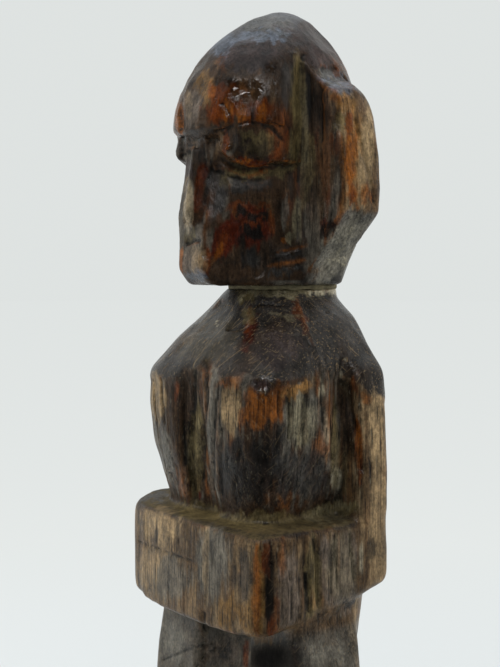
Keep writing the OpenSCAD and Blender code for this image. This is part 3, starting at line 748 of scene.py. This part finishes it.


# Patches of colour on the body, then of dust and wear over them; a few of the patches are painted sheen and
# reflection, as marked
BODY_DABS = (
    (208, 340, 30, 26, OLIVE, 20, -30), (280, 350, 24, 20, PLUM, 70), (250, 332, 7, 22, RED, 70, 12),
    (248, 322, 3, 14, RUST, 60, 12), (249, 316, 8, 8, OLIVE, 60), (300, 315, 6, 18, RUST, 55, -18),
    (313, 340, 2, 16, BLACK, 60, -25), (283, 316, 18, 3, KHAKI, 40, 5), (285, 292, 54, 5, KHAKI, 85),
    (325, 289, 16, 4.5, PALE, 85), (246, 298, 10, 5, OLIVE, 70), (217, 325, 1.3, 1.3, PALE, 90),
    (345, 357, 1.4, 1.4, PALE, 90), (158, 398, 10, 24, TAN, 90, -5), (176, 392, 3, 12, RUST, 70),
    # The grey at column 163, row 455 on the far arm's edge is partly painted reflection.
    (188, 398, 10, 28, BLACK, 75), (163, 455, 9, 34, GREY, 75, -14), (196, 455, 9, 48, OLIVE, 75, 4),
    (190, 440, 3, 50, BLACK, 80, 3), (203, 450, 3, 50, UMBER, 80, 3), (199, 500, 2, 6, RED, 80),
    (212, 410, 5, 46, GREY, 90, 2), (214, 470, 5, 30, GREY, 60), (231, 408, 11, 26, TAN, 90),
    (229, 386, 12, 5, ORANGE, 70, -5), (241, 420, 4, 14, ORANGE, 60), (300, 415, 20, 28, GREY, 95),
    (302, 420, 14, 26, KHAKI, 40), (265, 406, 20, 21, ORANGE, 98), (268, 398, 12, 10, AMBER, 60),
    (297, 389, 18, 7, GOLD, 98, -18), (286, 390, 8, 6, ORANGE, 60, -18), (290, 410, 1.8, 20, BLACK, 70),
    (304, 416, 1.6, 22, BLACK, 60), (313, 404, 3, 26, GREY, 60), (281, 436, 5, 14, SLATE, 80),
    (250, 470, 36, 30, SOOT, 95), (300, 474, 28, 26, SLATE, 85), (262, 455, 10, 12, BLACK, 60),
    (273, 490, 6, 24, BLACK, 70), (226, 470, 7, 26, SLATE, 80), (322, 388, 2.5, 18, PALE, 75),
    (327, 428, 2.5, 16, PALE, 50), (341, 376, 2, 6, PALE, 60), (334, 440, 3, 40, OLIVE, 60),
    (347, 410, 6, 34, SOOT, 70, -3), (344, 470, 4, 28, OLIVE, 60), (359, 452, 4, 32, RUST, 98, -3),
    (359, 440, 3, 22, AMBER, 80), (377, 440, 10, 46, TAN, 90, -2), (377, 510, 10, 56, TAN, 80),
    (367, 480, 2.5, 60, BROWN, 80), (378, 562, 9, 26, TAN, 70), (371, 547, 4, 14, BLACK, 70),
    (352, 387, 5, 8, RUST, 70, -40), (366, 399, 8, 5, ORANGE, 50, 25), (262, 385, 10, 8, PLUM, 90, 15),
    (336, 478, 5, 10, PALE, 80), (196, 455, 6, 40, KHAKI, 40, 4), (330, 514, 26, 6, KHAKI, 60, -10),
    # The bluish patch at column 152, row 496 on the rounded top of the block is painted sheen.
    (152, 496, 16, 6, SHEEN_BLUE, 50, -10), (202, 514, 28, 8, OLIVE, 90, 15), (270, 521, 46, 5, OLIVE, 90, -3),
    (250, 517, 30, 3, KHAKI, 40, 3), (330, 513, 26, 5, KHAKI, 70, -10), (160, 525, 24, 18, TAN, 95, 5),
    (150, 570, 16, 24, TAN, 70), (172, 578, 20, 22, GREY, 70, 10), (157, 532, 1.2, 16, BLACK, 80),
    (177, 528, 1.2, 14, BLACK, 60), (212, 562, 18, 38, GREY, 85), (206, 560, 4, 36, TAN, 50),
    (243, 577, 10, 24, SLATE, 70), (230, 612, 12, 18, HONEY, 80, 8), (288, 590, 11, 44, MAUVE, 90),
    (283, 560, 4, 20, ORANGE, 50), (262, 638, 16, 6, HONEY, 60), (257, 596, 6, 48, HONEY, 95),
    (256, 590, 3, 40, ORANGE, 80), (269, 596, 6, 46, BLACK, 80), (266, 566, 5, 16, RUST, 80),
    (271, 626, 6, 12, RUST, 70), (340, 570, 19, 42, MAUVE, 90), (312, 580, 7, 40, OLIVE, 80),
    (318, 585, 1.8, 44, BLACK, 90), (306, 600, 1.8, 30, BLACK, 70), (300, 562, 2.5, 24, TAN, 50),
    (361, 560, 3, 20, PALE, 70), (333, 560, 1.4, 24, BLACK, 60), (350, 603, 6, 6, BLACK, 80),
    (172, 640, 16, 26, GREY, 90), (222, 652, 18, 14, MAUVE, 60), (226, 650, 10, 8, SLATE, 80, -20),
    (328, 655, 30, 16, GREY, 80), (245, 656, 3, 14, RUST, 80),
)
BODY_DUST = (
    (336, 478, 6, 13, PALE, 85), (359, 452, 4, 34, RUST, 80, -3), (359, 445, 3, 28, ORANGE, 80, -3),
    (347, 410, 6, 36, UMBER, 80, -3), (335, 450, 4, 50, MOSS, 50), (330, 513, 30, 8, MOSS, 90, -10),
    (335, 510, 20, 3, KHAKI, 60, -10), (262, 520, 50, 7, MOSS, 60, -2), (200, 512, 30, 8, MOSS, 60, 14),
    (325, 289, 20, 6, PALE, 90), (325, 289, 18, 5, PALE, 85), (270, 291, 34, 3, KHAKI, 40),
    (250, 620, 9, 22, HONEY, 60), (257, 598, 5, 44, ORANGE, 60), (266, 560, 4, 20, RUST, 70),
    (270, 585, 5, 34, BLACK, 70), (276, 612, 3, 20, RUST, 50), (196, 455, 8, 46, MOSS, 50, 4),
    (316, 580, 5, 40, MOSS, 40), (300, 420, 18, 26, KHAKI, 30), (297, 389, 17, 5, GOLD, 60, -18),
    (186, 396, 8, 26, UMBER, 70), (231, 408, 10, 24, TAN, 85), (377, 425, 9, 28, TAN, 60),
    (330, 513, 30, 8, KHAKI, 40, -10), (342, 565, 16, 40, KHAKI, 25),
)

# The dark worn rim round the block's upper edge: columns and rows
BLOCK_RIM = (
    (137, 503), (157, 511), (180, 516), (203, 522), (232, 530), (261, 536), (285, 535), (308, 533),
    (332, 529), (356, 524),
)

# Crackled varnish, the painted shade in the gap between the legs, and the block's smooth corner, as on the
# head
BODY_CRACKLE = ((262, 386, 10, 8), (280, 314, 16, 5), (250, 330, 8, 16))
LEG_GAP_SHADE = (270, 660, 33, 19)
BLOCK_CORNER = (264, 592, 16, 50)


def paint_body(c):
    """Colour, gloss and wear of the body."""
    p = c.co
    x, z = np.abs(p[:, 0]), p[:, 2]
    cape, chest, arm, block = c.zones
    edge = c.relief(6)
    hollow = -c.relief(45)
    streak = layered(p, (0.9, 15), 3, 31)
    cloud = layered(p, (6, 12), 3, 37)
    legs = 1 - ramp(z - LEG_TOP, -1, 1)
    c.tone[:] = UMBER
    c.tint(SLATE, cape * 0.85)
    c.tint(UMBER, cape * ramp(cloud, 0.1, 0.5) * 0.6)
    c.tint(GREY, chest * ramp(streak + 0.5 * cloud, -0.1, 0.5) * 0.8)
    c.tint(ORANGE, chest * ramp(cloud - 0.3 * streak, 0.15, 0.6) * 0.6)
    c.tint(SOOT, chest * ramp(-cloud + 0.3 * streak, 0.1, 0.55) * 0.7)
    c.tint(BROWN, arm * (1 - cape) * 0.8)
    c.tint(TAN, arm * (1 - cape) * ramp(streak, -0.1, 0.5) * 0.6)
    # The tan and soot are the block's wood, but weighting tan onto its front faces and soot onto its sides
    # is painted light and shade.
    front = ramp(-c.no[:, 1], 0.5, 0.8)
    c.tint(BROWN, block * 0.6)
    c.tint(TAN, block * ramp(0.5 * streak + 0.5 * cloud, -0.35, 0.4) * (0.15 + 0.4 * front))
    c.tint(SOOT, block * ramp(-0.6 * streak + 0.5 * cloud, 0.15, 0.6) * (0.5 - 0.3 * front))
    c.tint(GREY, legs * 0.6)
    c.tint(SLATE, legs * ramp(cloud, 0.0, 0.5) * 0.6)
    shelf = ramp(c.no[:, 2], 0.6, 0.85) * band(z - SHELF, -1.5, -0.7, 1, 3)
    c.tint(OLIVE, shelf * 0.6)
    c.tint(SOOT, shelf * ramp(layered(p, (2.2, 2.2), 3, 67), 0.0, 0.4) * 0.3)
    c.dabs(BODY_DABS, 400)
    # Painted shade: black on the inner faces of the legs, where they face each other across the gap
    inner_shade = (1 - ramp(x, 3.5, 5.5)) * (1 - ramp(z - LEG_TOP, -0.5, 0.5))
    c.tint(BLACK, inner_shade * ramp(z, 20, 50) * 0.95)
    c.tint(ORANGE, ramp(edge, 0.04, 0.14) * ramp(cloud, -0.3, 0.3) * 0.5)
    c.tint(TAN, ramp(edge, 0.05, 0.16) * 0.35 * chest)
    c.tint(OLIVE, ramp(hollow, 0.2, 0.8) * (0.5 + 0.3 * streak))
    c.tint(BLACK, ramp(-edge, 0.03, 0.10) * 0.85)
    c.dabs(BODY_DUST, 600)
    broken = ramp(layered(p, (1.5, 1.5), 2, 69), -0.5, 0.1)
    c.tint(SOOT, c.groove(BLOCK_RIM, 0.5, 0.0, rag=0.7) * broken * 0.8)
    # Painted shade: black laid over the gap between the legs
    gap_shade = c.spot(*LEG_GAP_SHADE, soft=4.0) * legs
    c.tint(BLACK, gap_shade)
    c.rough[:] = 0.32 - 0.06 * cape + 0.3 * shelf + 0.7 * gap_shade
    c.grain[:] = np.clip(0.3 + 0.55 * chest + 0.5 * block + 0.2 * arm - 0.1 * legs, 0, 1) * (1 - gap_shade)
    c.grain *= 1 - 0.6 * c.spot(*BLOCK_CORNER, soft=3.0)
    c.crust[:] = 0.3 * shelf + 0.5 * ramp(hollow, 0.3, 0.9)
    c.nicks[:] = np.clip(0.25 + 0.75 * cape + 0.2 * legs, 0, 1) * (1 - gap_shade)


def carve_filler():
    """The bead of filler in the neck seam, smeared unevenly over its edges."""
    c = Carving("neck_filler", "smeared_filler", FILLER_CELL)
    c.smooth(2)
    c.look()
    low, high = node_box("neck_filler")
    radius = (high[0] - low[0]) / 2
    away = c.co - (low + high) / 2
    out = np.hypot(away[:, 0], away[:, 1])
    rim = ramp(out, radius - 1.2, radius)
    turn = layered(c.co, (2.5, 40), 3, 80)
    spread = rim * (-0.2 + 0.3 * turn) / np.maximum(out, 1e-6)
    c.co = c.co + away * np.stack((spread, spread, rim * (0.9 + 1.2 * turn)), axis=1)
    c.look()
    c.push(0.1 * rim * layered(c.co, (0.8, 0.5), 2, 81))
    c.smooth(1)
    c.look()
    return c


class Graph:
    """The shader nodes of a new material or world."""

    def __init__(self, owner):
        owner.use_nodes = True
        self.tree = owner.node_tree
        self.tree.nodes.clear()

    def feed(self, socket, source):
        """Sets a number, colour or vector on a socket, or links an output or a node's first output to it."""
        if isinstance(source, (int, float)):
            socket.default_value = source
        elif isinstance(source, tuple):
            socket.default_value = (*source, 1.0)[:len(socket.default_value)]
        else:
            self.tree.links.new(getattr(source, "outputs", [source])[0], socket)

    def add(self, kind, feeds=(), **settings):
        """Adds a node; settings are its properties, feeds its inputs by name or number."""
        n = self.tree.nodes.new("ShaderNode" + kind)
        for key, value in settings.items():
            setattr(n, key, value)
        for socket, source in dict(feeds).items():
            self.feed(n.inputs[socket], source)
        return n

    def coords(self):
        """Places on the object itself, in metres."""
        return self.add("TexCoord").outputs["Object"]

    def paint(self, layer):
        """A layer of colour stored on the mesh."""
        return self.add("Attribute", attribute_name=layer).outputs["Color"]

    def maths(self, operation, a, b):
        return self.add("Math", {0: a, 1: b}, operation=operation)

    def times(self, a, b):
        return self.maths("MULTIPLY", a, b)

    def plus(self, a, b):
        return self.maths("ADD", a, b)

    def minus(self, a, b):
        return self.maths("SUBTRACT", a, b)

    def vector(self, operation, feeds):
        return self.add("VectorMath", feeds, operation=operation)

    def span(self, source, low, high, to_low=0.0, to_high=1.0):
        """Maps a range of values onto another, clamped."""
        ends = {"From Min": low, "From Max": high, "To Min": to_low, "To Max": to_high}
        return self.add("MapRange", {"Value": source, **ends})

    def blend(self, factor, a, b, mode="MIX"):
        """Mixes two colours."""
        return self.add("Mix", {0: factor, 6: a, 7: b}, data_type="RGBA", blend_type=mode).outputs[2]

    def speckle(self, scale, detail=4.0, rough=0.6, twist=0.0, turn=None, shift=(0.0, 0.0, 0.0)):
        """Noise on the object; scale is cells per metre along x, y and z, or along turned axes."""
        place = {"Vector": self.coords(), "Scale": scale, "Location": shift}
        kind = "POINT"
        if turn is not None:
            cell, start = tuple(1.0 / k for k in scale), tuple(0.1 * k for k in shift)
            place.update({"Rotation": turn, "Scale": cell, "Location": start})
            kind = "TEXTURE"
        return self.add("TexNoise", {"Vector": self.add("Mapping", place, vector_type=kind), "Scale": 1.0,
                                     "Detail": detail, "Roughness": rough, "Distortion": twist})

    def finish(self, colour, rough, normal, gloss):
        """Ends a material with its shader."""
        shader = self.add("BsdfPrincipled", {"Base Color": colour, "Roughness": rough, "Normal": normal,
                                             "Specular IOR Level": gloss})
        self.add("OutputMaterial", {0: shader})


def blank(name):
    """A new material and its empty graph."""
    mat = bpy.data.materials.new(name)
    return mat, Graph(mat)


# Cells per metre of the marks in the wood, across and along the grain, and of the flakes of varnish
STREAKS = (1700, 1700, 60)
PORES = (3000, 3000, 210)
FLECKS = (2300, 2300, 520)
PITS = (2100, 2100, 1500)
MOTTLE = (360, 360, 260)
FLAKES = 1500.0

# Hairline scratches: cells per metre across them, then each set's turn and cells per metre along them
SCRATCH_FINE = 3400
SCRATCH_SETS = (
    ((0.0, 0.9, 0.9), 60),
    ((0.2, -0.8, 0.7), 80),
    ((0.5, 0.3, 2.2), 70),
    ((-0.7, 0.5, 0.4), 95),
)

# Where the flecks' noise starts, tilt of the flakes, reflectance, strength and height of the relief
FLECK_SHIFT = (3.1, 5.2, 7.7)
FLAKE_TILT = 0.34
WOOD_GLOSS = 0.16
WOOD_BUMP = 0.8
BUMP_HEIGHT = 0.2 * MM


def wood(name, shift):
    """Old dark hardwood: painted tone, upright grain, pores, pits, flecks, hairline scratches, patina."""
    mat, g = blank(name)
    tone = g.paint("tone")
    rough, grain, crust = g.add("SeparateColor", {0: g.paint("finish")}).outputs[:3]
    nicks, crackle = g.add("SeparateColor", {0: g.paint("nicks")}).outputs[:2]
    streak = g.span(g.speckle(STREAKS, 8.0, 0.72, 0.4, shift=shift), 0.36, 0.66)
    pores = g.span(g.speckle(PORES, 3.0, shift=shift), 0.56, 0.66)
    flecks = g.span(g.speckle(FLECKS, 3.0, shift=FLECK_SHIFT), 0.63, 0.73)
    pits = g.speckle(PITS, 4.0, 0.7, shift=shift)
    mottle = g.speckle(MOTTLE, 7.0, 0.7, shift=shift)
    lines = 0.0
    for turn, along in SCRATCH_SETS:
        needles = g.speckle((SCRATCH_FINE, SCRATCH_FINE, along), 1.0, 0.4, turn=turn, shift=shift)
        lines = g.maths("MAXIMUM", lines, g.span(needles, 0.685, 0.73))
    scratch = g.times(lines, nicks)

    deep = g.plus(0.45, g.times(streak, 1.05))
    colour = g.blend(grain, tone, g.blend(1.0, tone, deep, "MULTIPLY"))
    colour = g.blend(1.0, colour, g.span(mottle, 0.36, 0.64, 0.5, 1.5), "MULTIPLY")
    colour = g.blend(1.0, colour, g.span(pits, 0.36, 0.64, 0.65, 1.35), "MULTIPLY")
    colour = g.blend(g.times(pores, g.plus(0.3, g.times(grain, 0.55))), colour, BLACK)
    colour = g.blend(g.times(flecks, g.span(grain, 0.3, 1.0, 0.0, 0.42)), colour, PALE)
    colour = g.blend(g.times(scratch, 0.55), colour, TAN)
    soil = g.times(crust, g.span(pits, 0.38, 0.6, 0.1, 1.0))
    colour = g.blend(soil, colour, OLIVE)

    sheen = g.plus(rough, g.span(mottle, 0.3, 0.7, -0.06, 0.06))
    sheen = g.minus(sheen, g.times(crackle, 0.2))
    sheen = g.plus(sheen, g.times(soil, 0.25))

    height = g.times(g.minus(g.times(streak, 0.4), g.times(pores, 0.5)), grain)
    height = g.minus(height, g.times(scratch, 0.2))
    height = g.plus(height, g.times(pits, 0.3))
    height = g.plus(height, g.times(mottle, 0.8))
    height = g.times(height, g.span(crackle, 0.12, 1.0, 1.0, 0.15))
    bump = g.add("Bump", {"Height": height, "Strength": WOOD_BUMP, "Distance": BUMP_HEIGHT})

    # Flakes of the crackled varnish lie at slightly different tilts
    flakes = g.add("TexVoronoi", {"Vector": g.coords(), "Scale": FLAKES}).outputs["Color"]
    tilt = g.vector("SUBTRACT", {0: flakes, 1: (0.5, 0.5, 0.5)})
    tilt = g.vector("SCALE", {0: tilt, 3: g.times(crackle, FLAKE_TILT)})
    facing = g.vector("NORMALIZE", {0: g.vector("ADD", {0: bump, 1: tilt})})
    g.finish(colour, sheen, facing, WOOD_GLOSS)
    return mat


# Colour, roughness and cells per metre of the plain materials, then their reflectance and relief
PASTE = ((0.13, 0.11, 0.06), 0.8, (900, 900, 900))
PEG_WOOD = ((0.16, 0.10, 0.05), 0.6, (900, 900, 80))
PLAIN_GLOSS = 0.3
PLAIN_BUMP = 0.7


def plain(name, colour, rough, scale):
    """A rough, slightly mottled material for the filler and the hidden peg."""
    mat, g = blank(name)
    mottle = g.speckle(scale, 6.0, 0.7)
    tone = g.blend(1.0, colour, g.span(mottle, 0.3, 0.7, 0.45, 1.4), "MULTIPLY")
    bump = g.add("Bump", {"Height": mottle, "Strength": PLAIN_BUMP, "Distance": BUMP_HEIGHT})
    g.finish(tone, g.span(mottle, 0.3, 0.7, rough - 0.1, rough + 0.1), bump, PLAIN_GLOSS)
    return mat


def seat(piece, mat, node):
    """Gives a piece its material, hangs it on the root and hides the solid that it replaces."""
    piece.data.materials.clear()
    piece.data.materials.append(mat)
    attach(piece, "root")
    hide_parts(node)


# The world's light on the figure, and the pale grey-green that is seen
SKY = (0.95, 1.0, 1.05)
SKY_LEVEL = 0.24
PALE_FAR = (0.735, 0.765, 0.755)

# The floor: radius, colour, glow that fades with distance as a painted pool of light round the figure, and
# where the floor passes into the far pale
FLOOR_R = 3.0
FLOOR_TONE = (0.69, 0.715, 0.715)
FLOOR_LIGHT_POOL = 0.022
FLOOR_FADE = (0.08, 0.32)

# The hood: radius, height of its centre, half its width, its lowest and highest angle, and its black
HOOD_R = 0.45
HOOD_Z = 0.11
HOOD_HALF = 62
HOOD_LOW = -14
HOOD_HIGH = 90
HOOD_TONE = (0.01, 0.01, 0.01)

# The hood's black sheet on the floor: its near edge, steps along it and gap to the floor
HOOD_NEAR = 0.06
HOOD_STEPS = 24
HOOD_GAP = 0.001

# Lamps: name, turn from the figure's front towards its left, height angle, distance, size, power, colour
LAMPS = (
    ("key", -46, 32, 0.85, 0.8, 6.6, (1.0, 0.99, 0.97)),
    ("glint", 50, 46, 0.4, 0.08, 1.1, (1.0, 0.98, 0.96)),
    ("sky", 228, 74, 0.85, 0.8, 2.6, (0.84, 0.93, 1.0)),
    ("side", 145, 25, 0.85, 0.6, 4.6, (1.0, 0.98, 0.95)),
)
LAMP_AIM = (0, 0, 0.09)


def surround():
    """Soft light from all round, with a pale background for the camera and for reflections."""
    world = bpy.data.worlds.new("studio")
    SCENE.world = world
    g = Graph(world)
    path = g.add("LightPath").outputs
    seen = g.maths("MAXIMUM", path["Is Camera Ray"], path["Is Transmission Ray"])
    seen = g.maths("MAXIMUM", seen, path["Is Glossy Ray"])
    soft = g.add("Background", {"Color": SKY, "Strength": SKY_LEVEL})
    pale = g.add("Background", {"Color": PALE_FAR, "Strength": 1.0})
    g.add("OutputWorld", {0: g.add("MixShader", {0: seen, 1: soft, 2: pale})})


def stand(name, bm, mat):
    """Puts a finished shape into the scene."""
    mesh = bpy.data.meshes.new(name)
    bm.to_mesh(mesh)
    bm.free()
    mesh.materials.append(mat)
    obj = bpy.data.objects.new(name, mesh)
    SCENE.collection.objects.link(obj)
    return obj


def lay_floor():
    """A pale floor that keeps the shadow and passes into the background."""
    mat, g = blank("pale_floor")
    far = g.vector("LENGTH", {0: g.coords()}).outputs["Value"]
    matt = g.add("BsdfDiffuse", {"Color": FLOOR_TONE})
    # Painted light: the glow is brighter nearer the figure, like a pool of lamplight on the floor
    light_pool = g.plus(1.0, g.maths("DIVIDE", FLOOR_LIGHT_POOL, far))
    glow = g.add("Emission", {"Color": PALE_FAR, "Strength": light_pool})
    mix = g.add("MixShader", {0: g.span(far, *FLOOR_FADE), 1: matt, 2: glow})
    g.add("OutputMaterial", {0: mix})
    bm = bmesh.new()
    bmesh.ops.create_circle(bm, cap_ends=True, segments=96, radius=FLOOR_R)
    floor = stand("floor", bm, mat)


def hang_hood():
    """A black hood behind the camera, met only by reflections."""
    bm = bmesh.new()
    bmesh.ops.create_uvsphere(bm, u_segments=48, v_segments=32, radius=HOOD_R)
    ahead = Vector(FORWARD).xy.normalized()
    gone = []
    for face in bm.faces:
        way = face.calc_center_median().normalized()
        off = math.degrees(math.acos(max(-1, min(1, -way.xy.normalized().dot(ahead)))))
        rise = math.degrees(math.asin(way.z))
        if off > HOOD_HALF or not HOOD_LOW < rise < HOOD_HIGH:
            gone.append(face)
    bmesh.ops.delete(bm, geom=gone, context="FACES")
    near, far = [], []
    for step in range(HOOD_STEPS + 1):
        way = Matrix.Rotation(math.radians(HOOD_HALF * (2 * step / HOOD_STEPS - 1)), 2) @ -ahead
        near.append(bm.verts.new((*(way * HOOD_NEAR), HOOD_GAP - HOOD_Z)))
        far.append(bm.verts.new((*(way * HOOD_R), HOOD_GAP - HOOD_Z)))
    for step in range(HOOD_STEPS):
        bm.faces.new((near[step], near[step + 1], far[step + 1], far[step]))
    mat, g = blank("black_card")
    g.add("OutputMaterial", {0: g.add("BsdfDiffuse", {"Color": HOOD_TONE})})
    hood = stand("hood", bm, mat)
    hood.location = (0, 0, HOOD_Z)
    for ray in ("camera", "diffuse", "shadow", "transmission"):
        setattr(hood, "visible_" + ray, False)


def hang_lamps():
    """Round soft lamps, aimed at the middle of the figure."""
    for name, turn, rise, dist, size, watts, colour in LAMPS:
        data = bpy.data.lights.new(name, "AREA")
        data.shape = "DISK"
        data.size = size
        data.energy = watts
        data.color = colour
        lamp = bpy.data.objects.new(name, data)
        a, e = math.radians(turn), math.radians(rise)
        way = Vector((math.sin(a) * math.cos(e), -math.cos(a) * math.cos(e), math.sin(e)))
        lamp.location = Vector(LAMP_AIM) + way * dist
        lamp.rotation_euler = way.to_track_quat("Z", "Y").to_euler()
        lamp.visible_glossy = name in ("glint", "sky")
        lamp.visible_diffuse = name != "glint"
        SCENE.collection.objects.link(lamp)


def place_camera():
    """The camera where the photograph was taken."""
    cam = bpy.data.cameras.new("camera")
    cam.sensor_fit = "VERTICAL"
    cam.sensor_height = SENSOR_MM
    cam.lens = FOCAL_PX / FRAME_H * SENSOR_MM
    cam.clip_start = 0.01
    eye = bpy.data.objects.new("camera", cam)
    turn = Matrix((RIGHT, LIFT, -FORWARD)).transposed().to_4x4()
    turn.translation = Vector(EYE * MM)
    eye.matrix_world = turn
    SCENE.collection.objects.link(eye)
    bpy.context.scene.camera = eye


head = carve_head()
paint_head(head)
head.store()
seat(head.obj, wood("head_wood", (0.0, 0.0, 0.0)), "head")

body = carve_body()
paint_body(body)
body.store()
seat(body.obj, wood("body_wood", (13.0, 7.0, 2.0)), "body")

filler = carve_filler()
filler.store()
seat(filler.obj, plain("filler_paste", *PASTE), "neck_filler")

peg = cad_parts["neck_peg"]
peg.data.materials.clear()
peg.data.materials.append(plain("peg_wood", *PEG_WOOD))

SCENE.view_settings.view_transform = "Standard"
surround()
lay_floor()
hang_hood()
hang_lamps()
place_camera()
